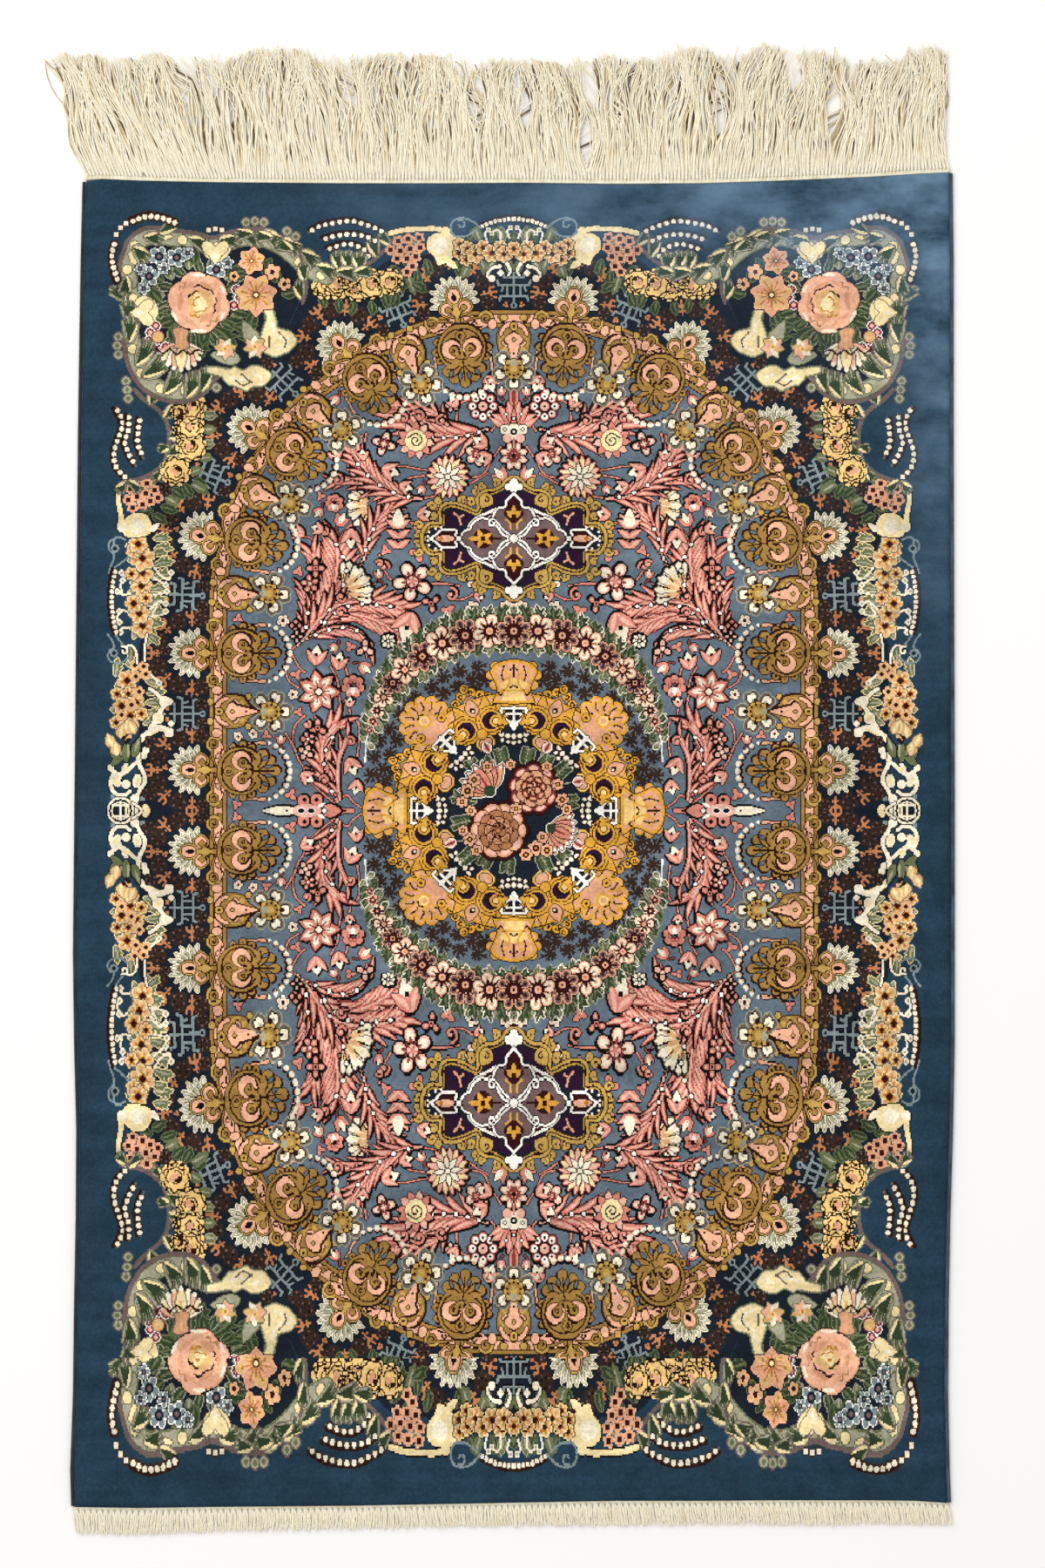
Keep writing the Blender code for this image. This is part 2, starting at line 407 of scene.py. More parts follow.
@motif
def pearlArc():
    # flat pearls round a palmette, largest in the middle, ending in pink tails
    cx, cy = 15.2, 0
    for step in range(-5, 6):
        a = 14.6 * step
        size = 3.3 - 0.06 * step * step
        disc(*turned(cx, cy, a, 24.8), size - 0.3, "ink")
        oval(*turned(cx, cy, a, 26.8), a, 1.5 * size, 1.7 * size, "cream")
        oval(*turned(cx, cy, a, 24.8), a, 0.5 * size, 1.0 * size, "salmon")
    for _ in bothSides():
        with outlined("ink"):
            stroke([turned(cx, cy, a, 25.6) for a in (82, 94, 106)], 2.4, "salmon", 1.5)
            for r in (28.5, 23):
                stroke([turned(cx, cy, 102, 25.6), turned(cx, cy, 116, r)], 1.5, "salmon")


@motif
def starFlower():
    # five broad petals drawn in two pale outlines, none towards the cartouche
    for a in (180, 112, -112, 48, -48):
        a += 180
        with outlined("leafLight"):
            for side in (-1, 1):
                oval(*around(a, 12.8, 2.5 * side), a + 8 * side, 13.6, 8.6, "fawn")
        with outlined("ink"):
            for side in (-1, 1):
                oval(*around(a, 13.0, 1.3 * side), a + 8 * side, 8.4, 5.6, "cream")
        leaf(*around(a, 8), a, 6, 1.6, "leafLight")
    for a in (0, 80, 146, 214, 280):
        disc(*around(a, 11), 1.7, "brown")
    petals(0, 0, 9.4, 9, [(1.0, "oliveLight")], 20, edge="brown")
    disc(0, 0, 7.0, "olive")
    for i in range(9):
        disc(*around(40 * i, 6.4), 1.1, "brown")
    oval(-5.5, 0, 0, 6, 7, "leafLight")
    disc(0, 0, 3.4, "oliveLight")


@motif
def cartouche():
    # an olive drop with a pink fleur in it, its point towards the star flower
    for _ in bothSides():
        disc(-17.5, 9, 2.9, "oliveLight", edge="brown")
        disc(17, 13.6, 2.6, "oliveLight", edge="brown")
    with shadowed("brown"):
        patch([(-13, 0), (-11, 9), (-5, 14), (3, 15), (12, 13), (16, 8), (20, 4), (27, 0.6), (27, -0.6),
            (20, -4), (16, -8), (12, -13), (3, -15), (-5, -14), (-11, -9)], "olive")
    for _ in bothSides():
        stroke([(-11, 0), (-10.5, 6), (-7, 10), (-2, 12)], 4.2, "blush", 2.4, edge="brown")
        stroke([(2, 0), (7, 3.5), (8, 7.5), (5, 10)], 2.4, "blush", 1.4, edge="brown")
        disc(11.5, 8.4, 2.2, "oliveLight")
        stroke([(0, 10), (3, 12.5), (8, 12.5)], 1.0, "oliveLight")
    with shadowed("brown"):
        patch([(-4, 0), (-1, 6), (3, 8), (7, 5), (12, 4), (25, 0), (12, -4), (7, -5), (3, -8), (-1, -6)],
            "blush")
    disc(-9.5, 0, 3.4, "oliveLight", edge="brown")
    disc(-9.5, 0, 1.4, "brown")
    for _ in bothSides():
        oval(-11.5, 19.5, 0, 9, 7, "blush", edge="brown")
    disc(2.5, 0, 1.5, "oliveLight", edge="brown")
    disc(15, 0, 1.0, "brown")


@motif
def stripScrolls():
    # where the ring's strip passes a palmette it opens into curls that bulge outwards
    for _ in bothSides():
        with outlined("brown"):
            disc(-27, 24.5, 7.2, "oliveLight")
            stroke([(-27, 24.5), (-27.5, 14), (-24, 4)], 5, "olive", 3)
        leaf(-22, 27, -94, 24, 8, "blush", edge="brown")
        disc(-27.4, 24.5, 3.8, "olive", edge="brown")
        stroke(coil(-27.4, 24.5, 2.6, 60, -1, 0.7, 0.3), 1.2, "brown")
        stroke(coil(-23.5, 13, 2.8, 90, 1, 0.7, 0.3), 1.2, "brown")
        leaf(-20, 21, -100, 8, 1.6, "brown")


@motif
def rustFleur(yarn="rust"):
    # a small tulip of three prongs on a forked stem
    stroke([(-8, 0), (0, 0)], 1.6, yarn, 2.2)
    for _ in bothSides():
        stroke([(0.5, 0), (1, 4.2), (4.5, 4.8)], 2.2, yarn)
        disc(-4.5, 2.2, 1.1, yarn)
    stroke([(0, 0), (6, 0)], 2.4, yarn, 1.6)
    disc(0, 0, 2.2, yarn)


@motif
def twigBlob(size=1.0):
    # a ragged round blob of dark brown with paler specks
    for i in range(7):
        disc(*around(51 * i, 5.6 * size), (2.6 + 0.9 * (i % 2)) * size, "twig")
    disc(0, 0, 5.6 * size, "twig")
    for i in range(5):
        disc(*around(72 * i, 3.6 * size), 0.8, "ink")
        disc(*around(72 * i + 30, 5.4 * size), 0.8, "mauve")


@motif
def fanFlower():
    # turn points outwards: rust sprigs and brown blobs round a ruff of pale feathers
    for a, d in ((0, 37), (42, 36), (-42, 36), (88, 33), (-88, 33)):
        rustFleur(*around(a, d), a)
    for a, d in ((21, 34), (-21, 34), (65, 32), (-65, 32)):
        twigBlob(*around(a, d), a)
    with outlined("ink"):
        for i in (-5, 5, -4, 4, -3, 3, -2, 2, -1, 1, 0):
            a = 20 * i
            long = (15.5, 17)[i % 2]
            with outlined("cream"):
                leaf(*around(a, 6), a, long, 6, "leafLight")
                for side in (-1, 1):
                    leaf(*around(a, 9), a + 24 * side, long * 0.45, 3, "leafLight")
            leaf(*around(a, long - 4), a, 8, 1.8, "cream")
            leaf(*around(a, 6), a, long - 5, 1.4, "leaf")
    stroke([(-21, 0), (-6, 0)], 4, "olive", 3, edge="brown")
    with outlined("brown", "oliveLight", "brown"):
        for _ in bothSides():
            disc(-7, 8.4, 5.2, "blush")
        oval(4, 0, 0, 13, 10.6, "blush")
    for _ in bothSides():
        with outlined("brown"):
            disc(-8, 7, 2.6, "olive")
            stroke([(-15, 0), (-10, 4)], 2.4, "olive")
    leaf(-1, 0, 0, 8, 4.4, "ink")
    leaf(-17, 0, 0, 15, 5, "oliveLight")


@motif
def steelCross():
    # a geometric fret of straight bars with hooked ends
    with outlined("ink"):
        stroke([(-15, 0), (13, 0)], 2.6, "steel")
        for along, wide, hook in ((-8, 12, -4), (2, 14, 4), (9, 9, 4)):
            stroke([(along, -wide), (along, wide)], 2.4, "steel")
            for _ in bothSides():
                stroke([(along, wide), (along + hook, wide + 1)], 2.4, "steel")
        for _ in bothSides():
            stroke([(-8, 6), (2, 6)], 2.0, "steel")
            stroke([(2, 9), (-3, 11)], 2.0, "steel")
    for _ in bothSides():
        disc(15.5, 5, 2.0, "rust")
    rings(-16.5, 0, (3.0, "steel"), (1.2, "night"))


def nightFiller(x, y, reach):
    # small shapes that crowd the dark ground between the larger ones
    turn = 67 * x + 31 * y
    if reach >= 6 or int(x + y) % 3 == 0:
        twigBlob(x, y, turn, 0.12 * reach)
    elif reach == 5:
        for a in (0, 120, 240):
            disc(*turned(x, y, turn + a, 1.6), 1.4, "rust")


ringPalmettes = [(245, 36, 180), (245, 143, 180), (238, 244, 188), (201, 324, 206), (132, 390, 240),
    (47, 417, 264)]
ringCartouches = [(258, 90, 180), (256, 197, 184), (236, 289, 199), (184, 364, 222), (97, 418, 250),
    (0, 430, 270)]
ringStars = [(221, 90, 180), (222, 197, 184), (203, 279, 199), (156, 345, 222), (84, 387, 250),
    (0, 401, 270)]
fanFlowers = [(291, 37, 0), (291, 143, 0), (282, 249, 10), (238, 346, 32), (157, 422, 55), (54, 463, 80)]
steelCrosses = [(299, 88, 0), (299, 196, 3), (275, 304, 22), (210, 390, 45), (106, 456, 68), (0, 475, 90)]




@motif
def scrollPair():
    # two wound scrolls on the inner edge of the medallion's ring
    with outlined("brown"):
        for _ in bothSides():
            leaf(88, 9, 18, 20, 9, "gold")
    for _ in bothSides():
        x, y = 83.5, 12.2
        rings(x, y, (14.0, "brown"), (13.1, "gold"), (10.9, "brown"), (10.1, "gold"), (8.0, "plum"))
        inner = 180 - 62
        disc(*turned(x, y, inner, 2.6), 6.0, "ink")
        rings(*turned(x, y, inner, 4.4), (5.6, "gold"), (3.6, "brown"), (2.8, "goldLight"))
        stroke([turned(x, y, inner, 8), turned(x, y, inner, 13)], 5, "gold")
        for a in (50, 72, 94):
            rings(*turned(x, y, a, 14.2), (2.9, "brown"), (2.2, "gold"))
    leaf(92, 0, 0, 17, 11, "salmon", edge="brown gold")
    oval(98, 0, 0, 6, 4.6, "ink")
    disc(97.5, 0, 1.2, "cream")
    oval(66.5, 0, 0, 9, 12, "salmon", edge="brown goldLight gold brown")
    disc(75, 0, 4.4, "gold", edge="brown")


@motif
def goldCurls():
    # the clusters of small curls outside the medallion's ring
    for along, side, r in ((114, 5, 4), (114, -5, 4), (119, 0, 3.8), (109, 12, 4), (109, -12, 4),
            (104, 18, 4), (104, -18, 4)):
        x, y = along, side
        rings(x, y, (r + 0.8, "brown"), (r, "gold"))
        stroke(coil(x, y, r - 1.3, 40 * side, 1, 0.8, 0.3), 1.2, "brown")


crownEdge = [(98, -19), (109, -15), (117, -17), (127, -21), (134, -14), (137, 0), (134, 14), (127, 21),
    (117, 17), (109, 15), (98, 19)]


@motif
def crown():
    for _ in bothSides():
        for along, across in ((131, 17), (123, 21), (114, 18)):
            rings(along, across, (4.8, "brown"), (4.0, "gold"), (1.6, "salmon"))
    patch(crownEdge, "gold", edge="brown")
    patch([(116 + 0.86 * (along - 116), 0.84 * side) for along, side in crownEdge], "salmon")
    patch([(103 + 0.5 * (along - 103), 0.6 * side) for along, side in crownEdge], "goldLight")
    for _ in bothSides():
        stroke([(106, 15), (112, 6), (121, 4), (127, 8), (125, 13)], 2.0, "gold")
        stroke([(122, 12), (119, 9), (120, 6)], 1.6, "gold")
        stroke([(131, 9), (123, 11), (118, 9.5)], 1.4, "ink")
        stroke([(109, 9), (105, 12), (107, 14)], 1.3, "brown")
        stroke([(131, 0), (128, 3)], 1.3, "brown")
    stroke([(132, 0), (122, 0)], 1.4, "brown")
    stroke([(112, -3), (113.5, 0), (112, 3)], 1.4, "ink")
    stroke([(108, -12), (109.5, 0), (108, 12)], 1.6, "gold")


@motif
def goldFan():
    # a fan of seven rounded lobes, gold edged, set outside the ring
    x, y = 112, 0
    for i in range(-3, 4):
        rings(*turned(x, y, 29 * i, 19.5), (6.6, "brown"), (5.8, "gold"), (3.6, "salmon"))
    rings(x, y, (20.5, "gold"), (18.2, "salmon"))
    for i in range(-3, 4):
        a = 29 * i
        stroke([turned(x, y, a, 20), turned(x, y, a, 14, 1.5), turned(x, y, a, 12, 0)], 1.5,
            "ink" if i % 2 else "brown")
        stroke([turned(x, y, a + 14, 18), turned(x, y, a + 10, 12), turned(x, y, a, 9)], 1.8, "gold")
    rings(*turned(x, y, 0, 3), (7.0, "gold"), (4.6, "goldLight"), (2.6, "salmon"))
    stroke([turned(x, y, 0, 8, -3), turned(x, y, 0, 10), turned(x, y, 0, 8, 3)], 1.4, "ink")
    for _ in bothSides():
        rings(*turned(x, y, 0, -6, 13), (4.4, "brown"), (3.6, "gold"), (1.4, "brown"))


@motif
def anchor():
    # a white arrow that points to the middle, with a crossbar and two bent rows of pearls before it
    with outlined("ink"):
        stroke([(94, 0), (80, 0)], 3.0, "white")
        leaf(83, 0, 180, 10, 7, "white")
        for _ in bothSides():
            stroke([(77, 0), (83, 6.5)], 2.6, "white", 1.6)
            stroke([(93, 0), (93, 10.5), (89, 11)], 2.4, "white")
            stroke([(88, 0), (87.5, 6.5)], 2.2, "white")
    for i in (-2, -1, 0, 1, 2):
        for r, size in ((70.5, 2.3), (65, 1.7)):
            place = around(i * 4.6, r - 3.2 + 0.8 * i * i)
            rings(*place, (size + 0.8, "brown"), (size, "cream"))
    for _ in bothSides():
        for k in (0, 1, 2):
            stroke([(78 - 3.4 * k, 10), (76.5 - 3 * k, 15.5)], 1.2, "maroon")


def drawMedallion():
    for turn in (22.5, 67.5):
        goldCurls(0, 0, turn)
    rings(0, 0, (108, "brown"), (107, "gold"), (104.5, "salmon"))
    for turn in range(3, 90, 7):
        x, y = turned(0, 0, turn, 101)
        stroke(coil(x, y, 3.6, turn + 90, 1, 0.8, 0.3), 1.8, "gold")
    rings(0, 0, (98.5, "brown"), (97.6, "gold"), (95.2, "ink"), (94.4, "night"))
    for turn in (0, 90):
        crown(0, 0, turn)
    goldFan(0, 0, 45)
    for turn in (22.5, 67.5):
        scrollPair(0, 0, turn)
    for turn in (0, 45, 90):
        anchor(0, 0, turn)


@motif
def twigSprig():
    # a small dark sprig, its leaves narrow and crowded
    for a, long in ((0, 13), (48, 10), (-48, 10), (100, 9), (-100, 9), (150, 7), (-150, 7)):
        leaf(0, 0, a, 0.86 * long, 2.1, "twig")
        leaf(*around(a, long * 0.45), a + 50, 4, 1.8, "twig")


@motif
def wreathFlower(r, petal, count):
    # cream ones have a small maroon star, mauve ones a dark heart and warm rims
    rim = {"cream": "blush", "mauve": "salmon", "pink": "pinkLight"}[petal]
    petals(0, 0, r, count, [(1.18, "ink"), (1.0, rim), (0.72, petal),
        (0.34, "maroon" if petal == "mauve" else "salmon")], 0, 1.02)
    disc(0, 0, r * 0.3, "maroon")
    for _, a in spokes(count):
        leaf(*around(a, r * 0.16), a, r * 0.48, r * 0.16, "maroon")
        stroke([around(a + 180 / count, r * 0.2), around(a + 180 / count, r * 0.62)], 1.2, "maroon")
    rings(0, 0, (r * 0.2, rim), (r * 0.1, "rust" if petal == "cream" else "ink"))


@motif
def sprayLeaf(long, wide=6.0, bend=0.2, fill="leafDark", edge="white"):
    # a toothed leaf with a pale edge, as all the wreaths and garlands have
    with outlined(edge):
        leaf(0, 0, 0, long, wide, fill, bend)
        for s in (0.3, 0.55):
            for side in (-1, 1):
                bx, by = long * s, bend * long * s * s
                leaf(bx, by, 38 * side, long * 0.36, 2.8, fill)
    leaf(0, 0, 0, long * 0.8, 1.6, "leaf" if fill == "leafDark" else "leafLight", bend)


def drawWreath():
    # the wreath thins from its great flowers down to a tail beside the medallion
    angles = [18, 22, 32, 36, 41, 46, 52, 60, 67, 75, 82, 91]
    reach = [143, 145, 151, 153, 157, 159, 162, 162, 166, 166, 164, 163]
    for i, a in enumerate(np.arange(25, 91, 2.1)):
        x, y = turned(0, 0, a, np.interp(a, angles, reach))
        full = np.interp(a, (24, 54), (0.25, 1.0))
        fill = "leaf" if i % 4 == 0 else "leafDark"
        edge = ("cream", "leafLight", "leaf")[i % 3]
        wide = 2.2 + 2.4 * full
        sprayLeaf(*turned(x, y, a, 5 * full), a + 24 - 16 * (i % 2), 4 + 16 * full, wide, 0.2, fill, edge)
        sprayLeaf(*turned(x, y, a, -5 * full), a + 216 - 18 * (i % 2), 3 + 14 * full, wide, -0.2, fill,
            edge)
    stroke([(131, 74), (134, 62), (135, 45)], 1.8, "white", 1.0)
    for x, y, r, petal, count in ((131, 73, 3.2, "pink", 5), (128, 81, 4.6, "pink", 5),
            (124, 91, 6, "cream", 5), (118, 103, 8.5, "cream", 5), (110, 116, 9.5, "mauve", 7),
            (99, 128, 11.5, "cream", 5), (83, 140, 12.5, "mauve", 7), (65, 152, 14, "cream", 6),
            (44, 159, 14, "mauve", 8), (22, 163, 14, "cream", 6), (0, 163, 14, "mauve", 8)):
        wreathFlower(x, y, 20 + x, 1.12 * r, petal, count)


sprigPlaces = [(112, 74, 60), (121, 63, 30), (107, 64, 170), (113, 51, 200), (126, 49, 20),
    (118, 38, 300), (129, 33, -60), (109, 36, 200), (117, 27, 260), (96, 96, 45), (90, 103, 200),
    (103, 88, 20), (74, 112, 30), (63, 121, 60), (64, 107, -80), (51, 113, -110), (49, 126, 70),
    (38, 118, 150), (33, 129, 150), (36, 109, -110), (27, 119, 190)]


@motif
def drawPendant():
    both = lambda places: [*places, *[(x, -y) for x, y in places[::-1]]]
    rim = both([(-6, 52), (0, 55), (6, 52), (10, 47), (18, 43), (26, 42), (32, 37), (31, 29), (33, 24),
        (38, 25), (46, 28.5), (56, 31), (63, 29.5), (66, 25), (66, 13), (74, 13), (79, 10.5), (82, 5),
        (82.5, 0)])
    patch(rim, "night", False)
    for _ in bothSides(1):
        patch([(36, 21), (46, 24), (56, 27), (62, 25), (62, 10), (52, 8), (44, 12)], "plum", False)
        patch([(2, 43), (8, 42), (18, 39), (27, 37), (26, 26), (19, 25), (10, 33)], "plum", False)
        for scroll in ((74, 29, 4, 20, 1), (73, 21, 3.4, -60, -1), (86, 12, 3.8, 20, 1),
                (87, 5, 3.2, -40, -1), (47, 34, 3.8, 120, -1), (39, 33, 4.2, 60, 1), (35, 43, 4, 90, 1),
                (28, 47, 3.4, 60, -1), (16, 50, 3.8, 60, 1), (68, 34, 3.2, 90, -1)):
            stroke(coil(*scroll, 0.9, 0.25), 2.7, "oliveLight", edge="brown")
    stroke(rim, 5.0, "oliveLight", edge="brown")
    stroke([(x * 0.985, y * 0.985) for x, y in rim], 1.0, "brown")
    for _ in bothSides(1):
        patch([(30, 28), (31, 37), (25, 41), (20, 38), (19, 32), (24, 29)], "oliveLight", edge="brown")
        stroke(coil(25, 35, 3.2, 90, 1, 0.8, 0.2), 1.2, "brown")
        stroke([(54, 23), (50, 19), (48, 13)], 1.8, "salmon")
        stroke([(50, 19), (46, 21)], 1.6, "salmon")
        with outlined("ink"):
            for x, y, r in ((0, 51, 3.6), (4.5, 47, 3.4), (0, 45, 3)):
                disc(x, y, r, "white")
        # a pale crescent with a maroon heart joins each lobe to the next
        stroke([(10, 26), (17, 24.5), (25, 21), (33, 18), (40, 11)], 6.4, "white", 4, edge="ink")
        stroke([(13, 24.5), (18, 23), (25, 20.5), (33, 17)], 3.0, "maroon", 1.6)
        top = [(0, 41), (3, 38), (6.5, 34.6), (8, 29), (14.6, 27), (18.6, 20), (14.5, 13.5), (8.5, 7),
            (0, 0)]
        patch([*top, *[(-x, y) for x, y in top[::-1]]], "mauve")
        patch([(0, 39), (5, 34), (7, 27), (9, 22), (0, 14), (-9, 22), (-7, 27), (-5, 34)], "maroon")
        stroke(top, 2.0, "white", edge="ink")
        leaf(0, 19, 90, 12, 4.6, "gold")
        leaf(0, 19, 42, 9, 4.6, "gold")
        stroke([(3, 9), (3.5, 14), (7, 17)], 1.8, "gold")
        disc(0, 20, 2.2, "maroon")
    side = both([(49.5, 0), (45, 6.5), (40, 8.5), (37.5, 13.5), (30, 18.5), (22, 17), (16.5, 13),
        (12.5, 7), (8, 2.5), (0, 0)])
    patch(side, "mauve")
    stroke(side, 2.0, "white", edge="ink")
    disc(28, 0, 9, "maroon")
    for a, long in ((0, 14), (58, 10), (-58, 10), (150, 9), (-150, 9)):
        leaf(28, 0, a, long, 4.2, "gold")
    disc(28, 0, 2.4, "maroon")
    stroke([(12, 0), (19, 0)], 1.4, "maroon")
    for _ in bothSides(1):
        stroke(coil(19.5, 14, 4, 120, -1, 0.9, 0.3), 1.8, "white", edge="ink")
    almond = both([(76, 0), (70, 4), (65, 8), (59, 8), (52, 7), (53, 3), (50, 0)])
    patch(almond, "maroon")
    stroke(almond, 2.0, "white", edge="ink")
    leaf(54, 0, 0, 18, 6, "blush")
    disc(66, 0, 1.8, "orange")
    with outlined("ink"):
        disc(0, 0, 3.6, "white")
        disc(50, 0, 2.2, "white")
    for _ in bothSides(1):
        for x, y in ((71, 9), (66, 10), (77, 6), (78, 2)):
            disc(x, y, 1.2, "white")


def acanthus(places, wide, count, start=0.12, hand=0, body="pink"):
    # a scrolling plume: a full body with long slim fingers that part from it and curl away
    line = route(places, 1.0)
    last = len(line) - 3
    wide = 0.84 * wide
    fingers = []
    for t in np.linspace(1, start, count):
        j = int(t * last)
        dx, dy = line[j + 2] - line[j]
        for side in (1, -1) if hand == 0 else (hand,):
            a = math.degrees(math.atan2(dy, dx)) + side * (17 - 9 * t)
            fingers.append((*turned(*line[j], a + 90 * side, wide * 0.12), a,
                wide * (2.0 - 0.9 * abs(t - 0.45)), side * 0.3))
    with shadowed():
        stroke(places, 2.4, body, wide * 0.5)
        for x, y, a, long, bend in fingers:
            leaf(x, y, a, long, wide * 0.36, "pinkDeep", bend)
            leaf(x, y, a, long, wide * 0.36 - 1.6, body, bend)
            leaf(*turned(x, y, a, long * 0.2, bend * 2), a, long * 0.6, wide * 0.12, "pinkLight", bend)
    stroke(places, 0.8, "pinkLight", wide * 0.12)


def beadVein(places, gap=12):
    stroke(places, 1.0, "ink")
    beads(places, gap, 1.7, "white", "ink")


def vine(*places, wide=1.6, yarn="pink"):
    stroke(places, wide, yarn, 1.2, edge="ink")


@motif
def pinkCurl(r, hand=1):
    with shadowed():
        stroke(coil(0, 0, r, 0, hand, 0.95, 0.2), 2.2, "pink")
        disc(0, 0, 1.5, "pinkLight")


@motif
def fieldFlower(r, count, outer, inner, middle="maroon"):
    # separate long petals, each pale with a rim of another yarn and an ink line round it
    long, wide = r * 0.66, min(r * 0.56, 2 * r * math.sin(math.pi / count) * 0.62)
    away = r - long / 2
    with shadowed():
        disc(0, 0, r * 0.28, outer)
        for i, a in spokes(count):
            oval(*around(a, away), a, long, wide, outer, edge="ink")
    for i, a in spokes(count):
        oval(*around(a, away), a, long - 3.4, wide - 3.0, inner)
        if r > 10:
            leaf(*around(a, r * 0.3), a, r * 0.3, 2.4, "pinkDeep")
            stroke([around(a + 180 / count, r * 0.12), around(a + 180 / count, r * 0.42)], 1.0,
                "pinkDeep")
    rings(0, 0, (max(1.0, r * 0.13), middle))


@motif
def eyedFlower(r, count):
    # a round flower whose petals each hold a white eye
    with shadowed():
        petals(0, 0, r, count, [(1.0, "pinkDeep"), (0.84, "pink")], 0, 1.06)
    for i in range(count):
        rings(*around(0 + 360 / count * i, r * 0.66), (r * 0.2, "white"), (r * 0.08, "ink"))
    rings(0, 0, (r * 0.4, "maroon"), (r * 0.28, "pinkLight"), (r * 0.1, "ink"))


@motif
def whorl(r):
    # a round pale flower with a frilled pink edge and a thin dark line that winds to its middle
    with shadowed():
        for i in range(11):
            leaf(*around(0 + 33 * i, r * 0.6), 33 * i + 14, r * 0.62, r * 0.4,
                ("pink", "pinkLight")[i % 2])
    disc(0, 0, r * 0.7, "straw", edge="pinkDeep")
    stroke(coil(0, 0, r * 0.52, 0, 1, 1.6, 0.15), 1.0, "ink")


@motif
def lily(r, count, outer="pink", inner="cream"):
    # a flower of pointed petals, each pale inside
    with shadowed():
        for i, a in spokes(count):
            leaf(0, 0, a, r, r * 0.54, outer, 0.08, edge="ink" if i % 2 else "pinkDeep")
    for i, a in spokes(count):
        leaf(*around(a, r * 0.3), a, r * 0.52, r * 0.26, inner, 0.05)
        stroke([around(a, r * 0.1), around(a, r * 0.5)], 1.0, "pinkDeep")
    rings(0, 0, (r * 0.22, "ink"), (r * 0.14, "cream"))


@motif
def halfFlower(size):
    # a flower seen from the side, broad pale petals with darker folds over a warm heart
    with shadowed():
        for a in (-46, 44, -20, 22, 0):
            patch([around(a + s, d * size) for s, d in ((0, 0.3), (-11, 0.7), (-10, 0.94), (-3, 0.9),
                (4, 1.0), (11, 0.88), (11, 0.7))], "cream", edge="fawn")
            leaf(*around(a, size * 0.3), a, size * 0.5, 4, "straw")
    for a in (-40, -14, 12, 38):
        leaf(*around(a, size * 0.24), a, size * 0.5, 3.6, "salmon", 0.1, "peach")
        stroke([around(a + 8, size * 0.55), around(a + 6, size * 0.86)], 1.0, "ink")
    stroke(coil(*around(-60, size * 0.5), 3.4, 0, 1, 1.0, 0.3), 1.4, "ink")


@motif
def ruffled(r, yarn="pink"):
    # a small round flower with a frilled edge and a white throat
    with shadowed():
        petals(0, 0, r, 7, [(1.0, yarn)], 0, 1.1)
        petals(0, 0, r * 0.62, 7, [(1.0, "pinkDeep"), (0.6, yarn)], 20)
    for a in (-40, 0, 40):
        leaf(*around(0 + a, -r * 0.1), 180 + a, r * 0.75, 3.2, "pinkLight")
    leaf(0, 0, 180, r * 0.7, r * 0.4, "white")
    disc(0, 0, 1.3, "ink")


@motif
def bud(size, outer="pink", inner="cream"):
    # a closed flower between two curling sepals
    with shadowed():
        leaf(0, 0, 0, size * 1.15, size * 0.62, inner)
        for _ in bothSides(1):
            leaf(0, 0, 22, size, size * 0.42, outer, 0.22, "pinkLight" if outer == "pink" else None)
    disc(size * 0.62, 0, max(1.0, size * 0.1), "ink")


def chrysanthemum(x, y, r):
    with shadowed():
        for i in range(18):
            a = 20 * i
            leaf(*turned(x, y, a, r * 0.3), a, r * 0.76, 4.6, "pinkLight" if i % 2 else "straw", 0.1,
                edge="pinkDeep")
        disc(x, y, r * 0.45, "pink")
    for i in range(8):
        a = 45 * i + 8
        leaf(*turned(x, y, a, 3), a, r * 0.55, 3.8, "cream", edge="ink")
    rings(x, y, (3.2, "ink"), (2.2, "cream"))


def fieldAxisStar():
    with shadowed():
        leaf(195, 0, 0, 34, 8, "cream")
        for _ in bothSides(1):
            disc(191, 9, 5.2, "pink")
            disc(179, 10, 5.2, "pink")
            leaf(172, 4, 195, 16, 6, "pink")
        oval(188, 0, 0, 26, 12, "pinkLight")
    for x in (193, 184):
        oval(x, 0, 0, 6, 4, "ink", edge="white")
    for _ in bothSides(1):
        disc(190, 10, 2, "ink")
        disc(179, 10, 2, "ink")
        leaf(178, 3, 150, 8, 3, "white")
    disc(206, 0, 1.5, "maroon")
    disc(172, 0, 1.6, "white")


